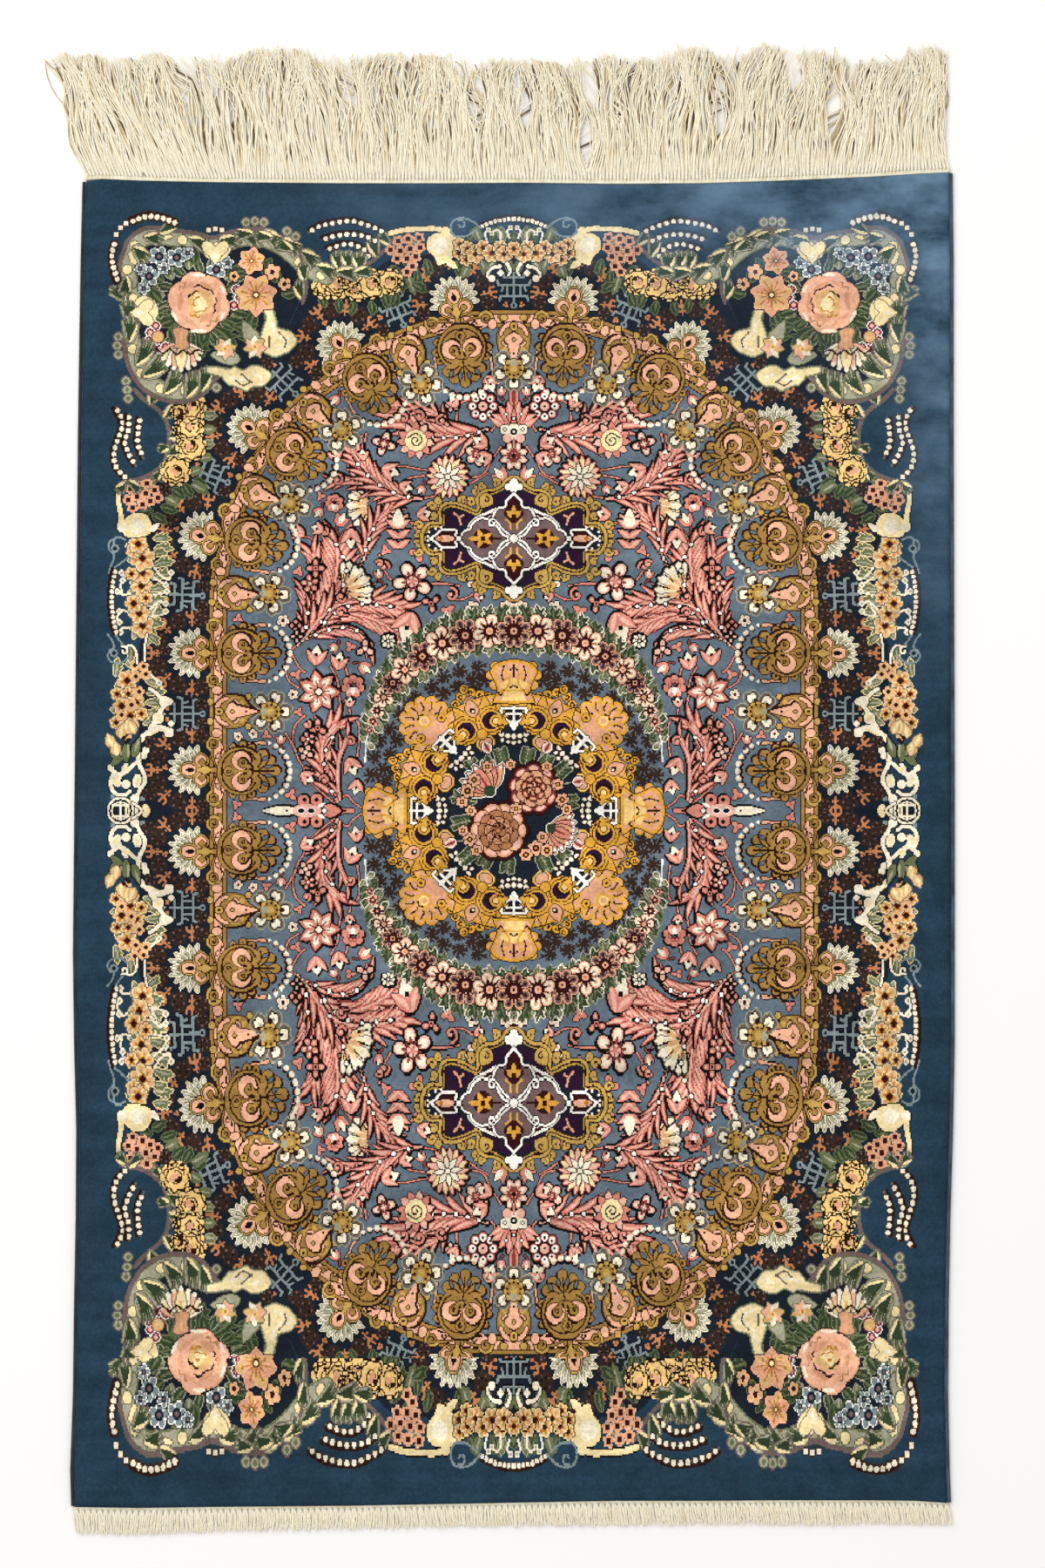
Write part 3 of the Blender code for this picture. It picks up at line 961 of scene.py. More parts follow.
fieldVines = [[(165, 9), (158, 11), (151, 14), (146, 8), (138, 3), (132, 2)],
    [(164, 8), (156, 2), (146, 1)], [(190, 86), (199, 76), (200, 60), (196, 48), (190, 38)],
    [(207, 70), (202, 62), (198, 54)], [(184, 26), (174, 16), (165, 9)],
    [(165, 80), (156, 84), (148, 85), (141, 79), (140, 66), (142, 50)], [(150, 96), (148, 86)],
    [(196, 152), (204, 142), (207, 128), (204, 118), (196, 112)], [(203, 145), (196, 132), (190, 126)],
    [(158, 100), (160, 118), (166, 130)], [(150, 108), (152, 128), (160, 136)],
    [(142, 184), (126, 184), (112, 185), (102, 186)], [(120, 172), (116, 164), (114, 158)],
    [(112, 210), (120, 222), (122, 232)], [(74, 206), (62, 206), (50, 204)],
    [(58, 192), (46, 192), (38, 196)], [(132, 234), (128, 250), (122, 268), (112, 280)],
    [(160, 228), (156, 240), (163, 252), (172, 254)], [(176, 234), (182, 246), (190, 249)],
    [(85, 282), (100, 281), (116, 284), (128, 292)],
    [(86, 283), (64, 287), (50, 292), (34, 300), (24, 306)],
    [(48, 303), (34, 303), (26, 307), (20, 318), (12, 330)],
    [(42, 308), (78, 309), (96, 312), (108, 313)], [(82, 304), (94, 302), (100, 299)],
    [(20, 346), (40, 341), (66, 337), (88, 340), (104, 340)],
    [(20, 345), (16, 352), (18, 364), (24, 370)], [(140, 222), (134, 234)],
    [(52, 352), (50, 368), (38, 374)], [(138, 340), (150, 330), (158, 322)],
    [(134, 342), (136, 326), (130, 316)]]


def drawField():
    for places in fieldVines:
        vine(*places)
    # the great scrolling leaves beside the medallion
    acanthus([(196, 150), (191, 166), (188, 184), (191, 200)], 11, 6)
    acanthus([(190, 158), (182, 176), (176, 196), (176, 216), (182, 232)], 15, 9)
    acanthus([(190, 158), (177, 174), (166, 194), (161, 216), (160, 238)], 22, 11)
    acanthus([(192, 154), (176, 168), (158, 178), (138, 177), (120, 170), (107, 160)], 17, 10)
    acanthus([(190, 157), (176, 174), (160, 186), (138, 190), (118, 188), (103, 184)], 17, 11)
    acanthus([(188, 156), (172, 164), (156, 166), (142, 162), (131, 150)], 14, 8, hand=1)
    halfFlower(157, 198, 148, 29)
    halfFlower(127, 277, -4, 25)
    for places in ([(178, 166), (166, 184), (156, 202), (152, 220), (160, 240), (171, 251)],
            [(176, 166), (164, 178), (146, 187), (126, 187), (108, 185)],
            [(186, 157), (168, 164), (150, 166), (136, 159), (130, 150)],
            [(190, 160), (187, 176), (189, 192)]):
        beadVein(places, 13)
    acanthus([(160, 8), (168, 26), (174, 46), (172, 66), (162, 78)], 17, 8)
    acanthus([(158, 10), (160, 30), (158, 50), (150, 68)], 11, 5, hand=-1)
    beadVein([(162, 12), (171, 30), (172, 46), (168, 62), (158, 74)], 13)
    acanthus([(136, 228), (134, 244), (124, 262), (110, 276)], 14, 6)
    beadVein([(136, 232), (130, 250), (124, 262)], 10)
    acanthus([(108, 288), (128, 292), (146, 300), (160, 299)], 12, 6)
    acanthus([(84, 283), (104, 286), (124, 298), (138, 314), (150, 332)], 15, 10)
    beadVein([(146, 320), (130, 302), (112, 290), (92, 284)], 14)
    acanthus([(24, 346), (48, 340), (72, 342), (96, 352), (108, 362)], 20, 9)
    beadVein([(26, 345), (50, 339), (72, 339), (92, 346)], 11)
    acanthus([(60, 350), (74, 362), (92, 366)], 12, 4)
    for x, y, r, turn, hand in ((157, 194, 4.5, 200, 1), (157, 180, 4.5, 160, -1), (172, 28, 4.5, 0, 1),
            (148, 63, 4.5, 60, 1), (188, 78, 3.6, 120, 1), (118, 222, 5, 200, -1), (57, 196, 6.5, 90, 1),
            (122, 224, 3.5, 30, 1), (100, 356, 5, 30, 1), (66, 354, 5, 100, -1), (86, 358, 5, 60, 1),
            (172, 253, 4, 90, 1), (160, 300, 4.5, 150, 1)):
        pinkCurl(x, y, turn, r, hand)
    for flower in ((92, 208, 65, 17.5, 5, "pinkLight", "cream", "pink"),
            (33, 324, 20, 11, 6, "pinkLight", "cream", "pink"),
            (178, 75, 90, 8, 3, "pink", "pinkLight", "maroon"),
            (187, 65, 0, 6.5, 5, "pink", "white", "white"),
            (189, 53, 30, 7, 4, "pinkLight", "pink", "cream"),
            (185, 206, 10, 8, 5, "pink", "cream", "cream"),
            (198, 168, 0, 5.5, 4, "pink", "pinkLight", "ink"),
            (135, 147, 90, 8, 3, "pinkLight", "pink", "cream"),
            (118, 333, 20, 10.5, 4, "pinkLight", "cream", "cream"),
            (114, 154, 0, 6.5, 8, "cream", "straw", "cream"),
            (75, 188, 20, 8, 3, "pink", "pinkLight", "ink"),
            (197, 158, 0, 5, 4, "pinkLight", "pink", "ink"),
            (180, 220, 0, 8, 4, "pink", "pinkLight", "ink"),
            (56, 368, 0, 6, 5, "pinkLight", "cream", "pink")):
        fieldFlower(*flower)
    eyedFlower(28, 367, 90, 14, 8)
    whorl(89, 336, 20, 14)
    lily(177, 108, 75, 19, 7)
    ruffled(146, 113, 90, 10.5)
    ruffled(163, 279, 100, 8.5)
    chrysanthemum(60, 303, 18)
    for place in ((180, 132, 95, 16), (160, 128, 100, 14), (193, 34, 215, 12), (150, 48, 250, 15),
            (142, 28, 280, 12), (150, 94, 100, 8), (120, 311, 200, 15), (105, 256, 90, 16),
            (104, 296, 200, 11), (92, 180, 290, 24), (190, 250, 20, 12), (148, 256, 270, 16),
            (173, 254, 20, 10), (52, 366, 60, 10), (36, 196, 200, 8), (88, 268, 170, 12),
            (160, 318, 70, 12), (136, 318, 80, 9)):
        bud(*place)
    with shadowed():
        for y in (238, 247, 256):
            for side in (1, -1):
                leaf(105, y, 90 + 42 * side, 13, 6, "pink", 0.2 * side, "pinkLight")
    disc(105, 263, 5.5, "cream")
    fieldAxisStar()
    # on the middle line over the pendant: a star, a ball of pearls and a flame of pointed petals
    fieldFlower(0, 322, 22, 12.5, 8, "pinkLight", "cream", "ink")
    with shadowed():
        leaf(0, 362, 90, 34, 8, "pink", 0, "pinkDeep")
        for a in (-64, 64, -38, 38, -14, 14):
            leaf(0, 350, 90 + a, 22, 8, "pink", 0, "pinkLight", edge="maroon")
        for a in (-75, 75):
            leaf(0, 346, 90 + a, 24, 7, "pink", -0.2 if a > 0 else 0.2, "pinkLight")
    with outlined("ink"):
        disc(0, 344, 7, "cream")
        disc(8, 346, 4.5, "cream")
        disc(6, 338, 4, "pinkLight")
        stroke([(0, 338), (0, 330)], 3, "pink")
    for x, y, r in ((0, 344, 3), (8, 346, 1.6), (0, 356, 2.4), (7, 360, 1.6)):
        rings(x, y, (r, "ink"), (r * 0.5, "white"))
    for x, y, turn, size in ((24, 331, 30, 13), (20, 322, -20, 12), (24, 395, 250, 14)):
        bud(x, y, turn, size)


@motif
def peachFlower(r, eye=2.6, outer="peach", inner="salmon"):
    petals(0, 0, r, 6, [(1.08, "straw"), (0.84, outer), (0.4, inner)], 0, 1.06)
    for i in range(6):
        stroke([around(0 + 60 * i, r * 0.3), around(0 + 60 * i, r * 0.6)], 1.0, "orange")
    rings(0, 0, (eye + 0.8, "orange"), (eye, "maroon"))


def smallBlossom(x, y, r=4.6, outer="pinkLight"):
    petals(x, y, r, 5, [(1.1, "blush"), (0.8, outer)], 18 + 3 * x, 1.1)
    disc(x, y, r * 0.38, "maroon")


def creamArm(*places, knob=2.6):
    stroke(places, 1.8, "cream")
    disc(*places[-1], knob, "cream")
    disc(*places[-1], knob * 0.35, "leafLight")


def pearlString(places, gap=5.2, r=2.3, shade=None):
    if shade:
        x, y = np.array(places, float).T
        stroke(list(zip(x + shade[0], y + shade[1])), 4.2, "brown", 2.4)
    stroke(places, 1.6, "fawn")
    beads(places, gap, r, "cream", "twig")


garlandFlowers = [(351, 118, 9.5), (360, 106, 6), (350, 106, 7), (343, 98, 8), (356, 95, 8),
    (348, 86, 8.5), (361, 80, 6), (352, 78, 6.5), (338, 88, 6), (340, 127, 7), (337, 168, 10.5),
    (340, 179, 9.5), (345, 188, 8), (338, 204, 9.5), (337, 216, 10), (337, 229, 11.5), (345, 236, 7),
    (341, 242, 8.5), (334, 193, 6), (347, 215, 6)]
garlandLeaves = [(362, 122, 110, 14), (362, 112, 150, 12), (352, 132, 150, 12), (348, 135, 100, 13),
    (334, 118, -10, 13), (333, 106, 20, 14), (334, 98, 5, 15), (334, 88, 10, 14), (336, 78, 30, 16),
    (366, 92, 190, 9), (346, 156, 120, 16), (333, 150, 75, 14), (333, 168, 20, 13), (333, 176, 30, 15),
    (333, 186, 35, 16), (347, 176, 160, 11), (350, 186, 200, 12), (350, 198, 170, 13),
    (348, 206, 150, 15), (348, 214, 150, 17), (330, 200, 20, 13), (328, 210, 30, 16), (327, 222, 25, 16),
    (350, 226, 140, 17), (352, 240, 170, 9), (326, 238, 10, 14), (327, 247, 10, 13), (329, 232, 20, 12),
    (332, 160, -30, 11), (348, 166, 200, 10)]


def drawGarland():
    # the flower garland that runs up each side, over half of its length
    for x, y, turn, long in garlandLeaves:
        # x grows away from the middle line, so these turns count from there
        sprayLeaf(x, y, 180 - turn if x < 340 else turn, 1.2 * long, 5.4, 0.2 if x < 340 else -0.2,
            "leaf", "straw")
    for arm in ([(350, 166), (355, 166), (357, 162)], [(348, 178), (354, 182), (358, 181)],
            [(355, 182), (360, 176), (358, 171)], [(349, 197), (355, 196), (360, 199)],
            [(355, 196), (357, 204), (355, 209)], [(347, 213), (353, 213), (356, 216)],
            [(329, 196), (320, 197), (315, 199)], [(327, 212), (321, 208), (316, 205)],
            [(326, 220), (320, 213), (313, 210), (311, 216)], [(330, 183), (322, 190), (316, 188)],
            [(330, 176), (320, 178), (316, 181)], [(324, 187), (326, 182), (330, 178)],
            [(334, 128), (326, 120), (322, 116)]):
        creamArm(*arm)
    for x, y, r in garlandFlowers:
        with outlined("fawn"):
            peachFlower(x, y, 7 * y, r, 2.9 if r > 7 else 1.8)
    for x, y in ((344, 132), (336, 131), (334, 124), (343, 122), (347, 96), (340, 108), (356, 87),
            (345, 78), (352, 69)):
        smallBlossom(x, y, 5, "peach")
    pearlString([(361, 219), (364, 205), (365, 190), (363, 172), (360, 160)], 4.6, 2.0, (3.4, 0))
    # fine steel-blue loops outside the pearls
    for loop in ([(361, 159), (356, 152), (352, 149)],
            [(369, 160), (365, 155), (363, 149), (367, 145), (369, 140), (365, 135), (357, 134),
            (351, 138)], [(362, 221), (355, 226), (350, 230)],
            [(368, 216), (366, 222), (363, 230), (363, 246), (358, 248), (353, 246)],
            [(363, 233), (368, 238), (367, 244), (362, 247)]):
        stroke(loop, 1.7, "steel")
    for x, y in ((363, 143), (362, 238)):
        rings(x, y, (3.6, "steel"), (1.8, "night"))
    with outlined("ink"):
        stroke([(333, 160), (335, 148), (335, 136)], 2.2, "cream", 1.6)
        stroke([(342, 134), (343, 144), (347, 150), (352, 149)], 2.4, "cream")
        stroke(coil(354, 145, 4.6, 70, 1, 0.8, 0.2), 2.2, "cream")
    # pale scrollwork between this garland and its mirror image
    with outlined("ink"):
        stroke([(343, 60), (335, 68), (324, 75), (314, 73)], 5.5, "cream")
        stroke([(330, 74), (325, 82), (321, 90), (317, 98), (324, 106), (331, 111)], 5.0, "cream", 3)
        for x, y, r in ((313, 71, 4.5), (311, 79, 2.8), (323, 84, 5.5), (317, 99, 5.0), (312, 99, 2.6),
                (334, 55, 3.2), (336, 50, 3)):
            disc(x, y, r, "cream")
    stroke([(340, 62), (330, 69), (320, 74)], 1.8, "straw")
    disc(322, 84, 3, "straw")
    with outlined("ink"):
        for places in ([(366, 38), (359, 33), (351, 36), (345, 42), (339, 46)],
                [(364, 32), (366, 24), (362, 16), (354, 14), (348, 18)],
                [(341, 52), (340, 42), (336, 34), (335, 26), (340, 18), (343, 8), (342, 0)],
                [(352, 42), (356, 33), (361, 26)]):
            stroke(places, 4.0, "cream", 3)
        disc(352, 24, 4.2, "cream")
        disc(366, 39, 3, "cream")
        disc(344, 11, 4, "cream")
        oval(361, 27, 60, 12, 8, "cream")
        oval(342, 27, 100, 13, 8, "cream")
    for x, y, a in ((361, 27, 60), (342, 27, 100), (352, 38, 20)):
        oval(x, y, a, 8, 4, "straw")
    # a pale lattice: two rings round a crossed bar, and a bud that points to the middle
    disc(357, 0, 12.5, "cream", edge="ink")
    rings(357, 0, (10.6, "ink"), (8.6, "cream"), (7.2, "night"))
    stroke([(357, -8), (357, 8)], 2.6, "cream")
    stroke([(352, -4), (352, 4)], 1.4, "straw")
    for y in (-5, 5):
        stroke([(350, y), (364, y)], 1.6, "cream")
    with outlined("ink"):
        stroke([(346, 7), (338, 0), (346, -7)], 2.2, "cream")
        for a in (180, 130, -130):
            disc(*turned(337, 0, a, 4), 3.0, "straw")
    for x, y in ((364, 13), (337, 11)):
        disc(x, y, 2.4, "steel")
    with outlined("ink"):
        for x, y, a in ((358, 44, 60), (352, 44, 90), (346, 48, 110)):
            leaf(x, y, a, 20, 7, "leaf")
        leaf(366, 42, 150, 14, 6, "leaf")
    for x, y, a in ((356, 50, 60), (350, 48, 90), (344, 54, 110)):
        leaf(x, y, a, 13, 2, "leafLight")
    with outlined("fawn"):
        for x, y, a in ((360, 50, 75), (364, 58, 60), (357, 66, 95), (350, 70, 80), (344, 70, 60)):
            leaf(x, y, a, 13, 9, "peach", 0.1, "straw")
    for x, y in ((354, 66), (350, 64), (352, 62)):
        disc(x, y, 1.7, "brown")


def frameStem(*places, wide=4.2):
    stroke(places, wide, "fawn")
    stroke(places, max(1.0, wide - 3), "mauve")


@motif
def frameLeaf(long, wide, bend=0.2):
    # a grey-green leaf of folded fingers, with a pale turned edge on one side
    lean = 34 * wide / long
    with outlined("fawn"):
        for i in (-3, 3, -2, 2, -1, 1, 0):
            leaf(0, 0, i * lean / 3, long * (1 - 0.06 * abs(i)), wide * 0.36,
                "leafLight" if i % 2 else "leaf", bend)
    for i in (-2.5, -1.5, -0.5, 0.5, 1.5, 2.5):
        leaf(*around(i * lean / 3, long * 0.1), i * lean / 3, long * 0.75, 2.0, "leafDark", bend)
    edge = 3 if bend < 0 else -3
    leaf(*around(edge * lean / 3, 1), edge * lean / 3, long * 0.7, 2.2, "straw", bend)


def carnation(x, y, r, turn=0.0):
    # a ruffled gold flower: brown waves over peach petals
    petals(x, y, r, 10, [(1.02, "straw"), (0.9, "goldLight")], turn)
    disc(x, y, r * 0.72, "goldLight")
    for f, sweep, a0 in ((0.78, 170, 20), (0.56, 200, 190), (0.36, 220, 60), (0.74, 130, 220),
            (0.2, 200, 0)):
        steps = np.linspace(0, 1, 9)
        a = np.radians(turn + a0 + sweep * steps)
        d = r * f * (1 + 0.14 * (np.arange(9) % 2))
        stroke(list(zip(x + d * np.cos(a), y + d * np.sin(a))), 1.1, "brown")
    oval(x + r * 0.1, y, turn + 30, r * 0.7, r * 0.36, "salmon")
    disc(x - r * 0.15, y + r * 0.2, r * 0.16, "brown")


def hydrangea(places):
    for x, y in places:
        smallBlossom(x, y, 5.0, "rose")
        disc(x, y, 2.2, "maroon")


def drawSideFrame():
    # from the plaque over the garland up to the corner
    for x, y, turn, long in ((328, 268, 200, 14), (320, 276, 190, 15), (316, 284, 200, 13),
            (310, 292, 210, 14), (332, 292, 110, 14), (322, 300, 140, 13), (300, 296, 230, 14),
            (290, 300, 200, 12), (286, 320, 170, 12), (283, 332, 170, 11), (282, 345, 165, 11),
            (281, 358, 170, 11), (294, 306, 150, 12), (304, 316, 120, 12), (338, 272, 170, 10),
            (292, 296, 200, 16)):
        sprayLeaf(x, y, turn, long, 7, 0.15, "leafDark" if int(x + y) % 3 else "leaf",
            "leafLight" if int(x) % 2 else "leaf")
    with outlined("ink"):
        stroke([(357, 257), (357, 270), (359, 282), (358, 292), (353, 300)], 5.5, "straw", 3)
        patch([(357, 256), (352, 266), (343, 270), (333, 268), (329, 259), (331, 251), (343, 248),
            (352, 249)], "straw")
        leaf(331, 253, 140, 13, 5, "cream")
        disc(356, 257, 4, "cream")
    patch([(350, 256), (345, 264), (338, 263), (335, 256), (342, 251)], "cream")
    hydrangea([(348, 292), (341, 296), (333, 297), (350, 282), (342, 285), (334, 288), (326, 291),
        (346, 275), (337, 278), (330, 281), (323, 284)])
    for places in ([(361, 366), (355, 352), (359, 338), (363, 325), (361, 312), (353, 303)],
            [(349, 360), (350, 345), (353, 335), (350, 325), (343, 313)],
            [(339, 357), (341, 345), (341, 332), (336, 320)]):
        pearlString(places, 6.0, 2.2, (2.6, -1.0))
    frameStem((351, 298), (340, 301), (330, 305), (320, 313), (315, 323), (313, 340), (315, 352),
        (322, 363), (333, 371), (344, 382))
    for x, y, turn, long, wide, bend in ((322, 311, 160, 22, 12, -0.2), (316, 322, 165, 21, 13, -0.25),
            (314, 338, 165, 20, 13, -0.25), (318, 356, 130, 20, 12, 0.2), (330, 368, 100, 18, 12, 0.25),
            (350, 300, -150, 16, 8, 0.3), (312, 330, -20, 12, 8, 0.2), (320, 308, -60, 11, 8, 0.3),
            (352, 298, -40, 13, 9, -0.2)):
        frameLeaf(x, y, turn, long, wide, bend)
    for x, y, r, turn in ((307, 308, 14, 0), (293, 331, 14.5, 100), (301, 346, 9, 50),
            (293, 349, 12.5, 200), (293, 366, 14.5, 290), (304, 362, 8, 10)):
        with outlined("ink"):
            carnation(x, y, r, turn)


@motif
def rose(r):
    # a full-blown rose: loose pale petals over warmer ones, and a gold heart with a few folds
    with outlined("ink"):
        for i, (d, size) in enumerate(((0.55, 0.92), (0.6, 0.80), (0.52, 0.96), (0.62, 0.76),
                (0.56, 0.88), (0.5, 0.9))):
            a = 60 * i
            oval(*around(a, r * d), a + 80, r * size, r * size * 0.8, "blush",
                edge="blush" if i % 2 else "rose")
    disc(0, 0, r * 0.66, "blush")
    for a, d, long, wide, yarn in ((100, 0.55, 0.5, 0.16, "rose"), (165, 0.6, 0.6, 0.14, "rose"),
            (225, 0.52, 0.5, 0.2, "rose"), (290, 0.62, 0.6, 0.14, "salmon"),
            (350, 0.56, 0.55, 0.16, "rose"), (45, 0.62, 0.5, 0.12, "salmon"),
            (75, 0.84, 0.4, 0.1, "cream"), (135, 0.84, 0.3, 0.1, "cream"), (255, 0.86, 0.5, 0.1, "cream"),
            (195, 0.82, 0.3, 0.1, "cream"), (315, 0.84, 0.4, 0.1, "cream")):
        oval(*around(0 + a, r * d), a + 90, r * long, r * wide, yarn)
    patch([around(0 + a, r * d) for a, d in ((0, 0.34), (40, 0.42), (90, 0.4), (140, 0.46), (185, 0.36),
        (230, 0.44), (280, 0.5), (320, 0.36))], "peach")
    patch([around(0 + a, r * d) for a, d in ((0, 0.2), (60, 0.3), (130, 0.2), (200, 0.3), (260, 0.34),
        (310, 0.2))], "straw")
    for f, start, sweep, yarn in ((0.5, 60, 75, "brown"), (0.52, 150, 50, "brown"),
            (0.34, 10, 60, "brown"), (0.28, 200, 80, "orange"), (0.16, 300, 140, "orange"),
            (0.42, 250, 40, "orange"), (0.7, 20, 25, "roseDeep"), (0.72, 205, 30, "roseDeep")):
        t = np.radians(start + np.linspace(0, sweep, 6))
        d = r * f * (1 + 0.08 * np.sin(np.linspace(0, 9, 6)))
        stroke(list(zip(d * np.cos(t), d * np.sin(t))), 1.2, yarn)


@motif
def starPetals(r, count):
    # a warm open flower of pointed petals, finely lined from its heart
    with outlined("ink"):
        for i, a in spokes(count):
            leaf(*around(a, r * 0.15), a, r * 0.85, r * 0.66, "salmon" if i % 2 else "peach", 0.05,
                edge="blush")
    for i in range(count * 2):
        a = 180 / count * i
        stroke([around(a, r * 0.15), around(a + 4, r * (0.7 if i % 2 == 0 else 0.45))], 1.0,
            "orange" if i % 2 == 0 else "roseDeep")
    rings(0, 0, (r * 0.16, "brown"), (r * 0.1, "straw"))


def pansy(x, y, r):
    # white-edged petals of a dull blue, dark in the middle
    petals(x, y, r, 5, [(1.0, "white"), (0.80, "steel")], 18 + 5 * x, 1.06, edge="night")
    rings(x, y, (r * 0.42, "night"), (r * 0.2, "mauve"))


def berry(x, y, r=4.6):
    rings(x, y, (r, "white"), (r - 0.9, "magenta"), (r * 0.42, "pinkLight"))


def scallops(*places, r=4.2):
    for x, y in places:
        rings(x, y, (r + 0.6, "fawn"), (r - 0.6, "leafLight"), (r * 0.5, "leaf"))


cornerLeaves = [(318, 452, 200, 24), (322, 440, 150, 18), (312, 438, 240, 22), (300, 436, 290, 20),
    (286, 434, 250, 22), (272, 438, 210, 26), (262, 446, 200, 26), (258, 456, 190, 22),
    (268, 430, 230, 22), (250, 430, 170, 18), (262, 486, 160, 22), (274, 492, 120, 16),
    (304, 492, 100, 20), (312, 486, 60, 18), (318, 480, 30, 20), (324, 470, 10, 18), (320, 462, 40, 16),
    (312, 500, 110, 12), (244, 488, 120, 16), (226, 486, 100, 16), (214, 480, 60, 14),
    (222, 456, 260, 16), (236, 452, 280, 18), (210, 468, 160, 14), (290, 496, 80, 16), (330, 478, 60, 14),
    (254, 440, 190, 24), (280, 440, 270, 18), (296, 500, 60, 14)]


def drawCorner():
    ground = [(352, 470), (350, 515), (325, 527), (270, 522), (215, 520), (190, 490), (205, 440),
        (240, 400), (290, 380), (335, 388), (350, 420)]
    patch(ground, "night")
    # a broad scrolled frame in pale tones, under its leaves
    for places in ([(347, 476), (345, 458), (347, 438), (346, 420), (342, 404), (334, 392), (322, 384),
            (306, 380), (292, 383)], [(348, 480), (351, 494), (347, 508), (338, 518), (326, 521),
            (308, 519), (290, 516), (272, 512), (252, 518), (232, 520), (214, 513), (200, 503),
            (188, 492), (170, 484)]):
        stroke(places, 15, "leaf")
        stroke(places, 12, "leafLight")
        beads(places, 23, 4.2, "straw", "leaf")
    # small toothed leaves crowd out from behind the great rose
    for i, a in spokes(34):
        sprayLeaf(*turned(286, 461, a, 27 + 5 * (i % 3)), a + (i * 47) % 70 - 35, 15, 6.5, 0.15,
            ("leafDark", "leaf", "leafDark")[i % 3], "leafLight")
    for x, y, turn, long in cornerLeaves:
        sprayLeaf(x, y, turn, long, 9, 0.15, "leafDark", "leaf")
    for x, y in ((322, 503), (306, 502), (331, 485), (270, 491)):
        pansy(x, y, 9.5)
    for x, y in ((336, 474), (318, 492), (339, 492), (296, 506), (260, 497)):
        pansy(x, y, 6.0)
    for places in ([(343, 464), (335, 467), (326, 462), (323, 452), (328, 444), (336, 448), (342, 444),
            (345, 452)], [(284, 515), (276, 512), (270, 516), (264, 512), (256, 515), (260, 504),
            (270, 498), (280, 504)], [(350, 506), (346, 496), (340, 500), (342, 510)],
            [(330, 522), (320, 518), (310, 521), (322, 526)]):
        patch(places, "straw", edge="fawn")
    for x, y in ((325, 440), (330, 434), (331, 427), (328, 421), (322, 419), (316, 421), (252, 473),
            (249, 466), (254, 459)):
        berry(x, y)
    disc(323, 430, 5, "peach", edge="pinkDeep")
    # the frame of scrolled leaves round the corner
    frameStem((354, 478), (351, 460), (354, 440), (353, 420), (349, 402), (341, 388), (328, 377),
        (308, 371), (292, 373), (280, 380), (272, 390), (264, 398))
    frameStem((356, 474), (358, 492), (354, 508), (348, 520), (332, 529), (312, 527), (290, 524),
        (272, 520), (254, 526), (232, 528), (212, 521), (197, 511), (186, 499), (170, 491), (152, 488),
        (134, 492))
    frameStem((197, 510), (191, 494), (188, 474), (192, 460), wide=3)
    for x, y, turn, long, wide, bend in ((350, 440, 75, 24, 14, 0.3), (350, 424, 70, 26, 15, 0.3),
            (344, 404, 40, 28, 17, 0.35), (338, 394, 20, 30, 18, 0.3), (318, 378, 35, 26, 15, 0.35),
            (298, 374, 50, 26, 15, 0.35), (284, 380, 60, 24, 13, 0.3), (352, 462, 120, 20, 12, 0.3),
            (346, 512, 210, 20, 14, 0.3), (336, 520, 170, 18, 12, 0.3), (352, 486, 260, 20, 11, 0.3),
            (322, 524, 160, 20, 11, -0.3), (296, 520, 190, 20, 11, 0.3), (268, 518, 170, 20, 12, 0.3),
            (248, 524, 190, 22, 13, 0.35), (228, 526, 200, 22, 13, 0.35), (210, 519, 200, 22, 13, 0.35),
            (194, 508, 200, 22, 13, 0.35), (180, 495, 190, 22, 12, 0.35), (162, 489, 170, 22, 12, 0.35),
            (146, 488, 160, 18, 10, 0.3), (236, 524, 10, 18, 10, -0.3), (218, 520, 20, 18, 10, -0.3),
            (200, 508, 40, 18, 10, -0.3), (190, 480, 70, 18, 10, 0.3), (192, 464, 60, 18, 10, 0.3)):
        frameLeaf(x, y, 180 - turn if x > 280 and y < 470 else turn, long, wide,
            -bend if x > 280 and y < 470 else bend)
    scallops((359, 430), (360, 422), (359, 414), (352, 390), (351, 382), (350, 374), (243, 534),
        (235, 535), (227, 534), (206, 526), (198, 521), (262, 398), (270, 384))
    # the pale scroll that closes the corner towards the middle, with two ruffled flowers on it
    with outlined("leafLight", "leaf"):
        stroke([(229, 462), (222, 452), (219, 440)], 5, "straw", 7)
        patch([(223, 447), (217, 446), (215, 438), (210, 436), (203, 434), (198, 427), (202, 419),
            (210, 415), (218, 413), (227, 418), (229, 428), (226, 440)], "straw")
        stroke([(276, 400), (266, 398), (256, 396)], 5, "straw", 7)
        patch([(268, 402), (260, 398), (254, 402), (246, 399), (237, 403), (227, 401), (221, 395),
            (227, 387), (236, 386), (243, 382), (252, 386), (261, 389)], "straw")
        leaf(231, 422, 40, 24, 11, "leafLight", 0.3)
        leaf(250, 408, 30, 24, 11, "leafLight", -0.3)
    for places in ([(219, 442), (217, 434), (211, 428)], [(205, 429), (209, 421), (217, 418)],
            [(258, 394), (250, 391), (241, 393)], [(236, 396), (230, 394), (229, 390)]):
        stroke(places, 3.0, "cream", 1.6)
    for places in ([(213, 434), (207, 427), (208, 421)], [(222, 430), (222, 421)],
            [(247, 396), (240, 390)], [(252, 390), (246, 386), (238, 389)]):
        stroke(places, 1.0, "fawn")
    for x, y, r in ((235, 421, 10), (262, 419, 9.5)):
        with outlined("leaf"):
            for k in range(7):
                leaf(x, y, 51.4 * k + x, r * 1.05, r * 0.62, ("blush", "cream", "peach")[k % 3], 0.15)
        rings(x, y, (2.6, "goldLight"), (1.3, "orange"))
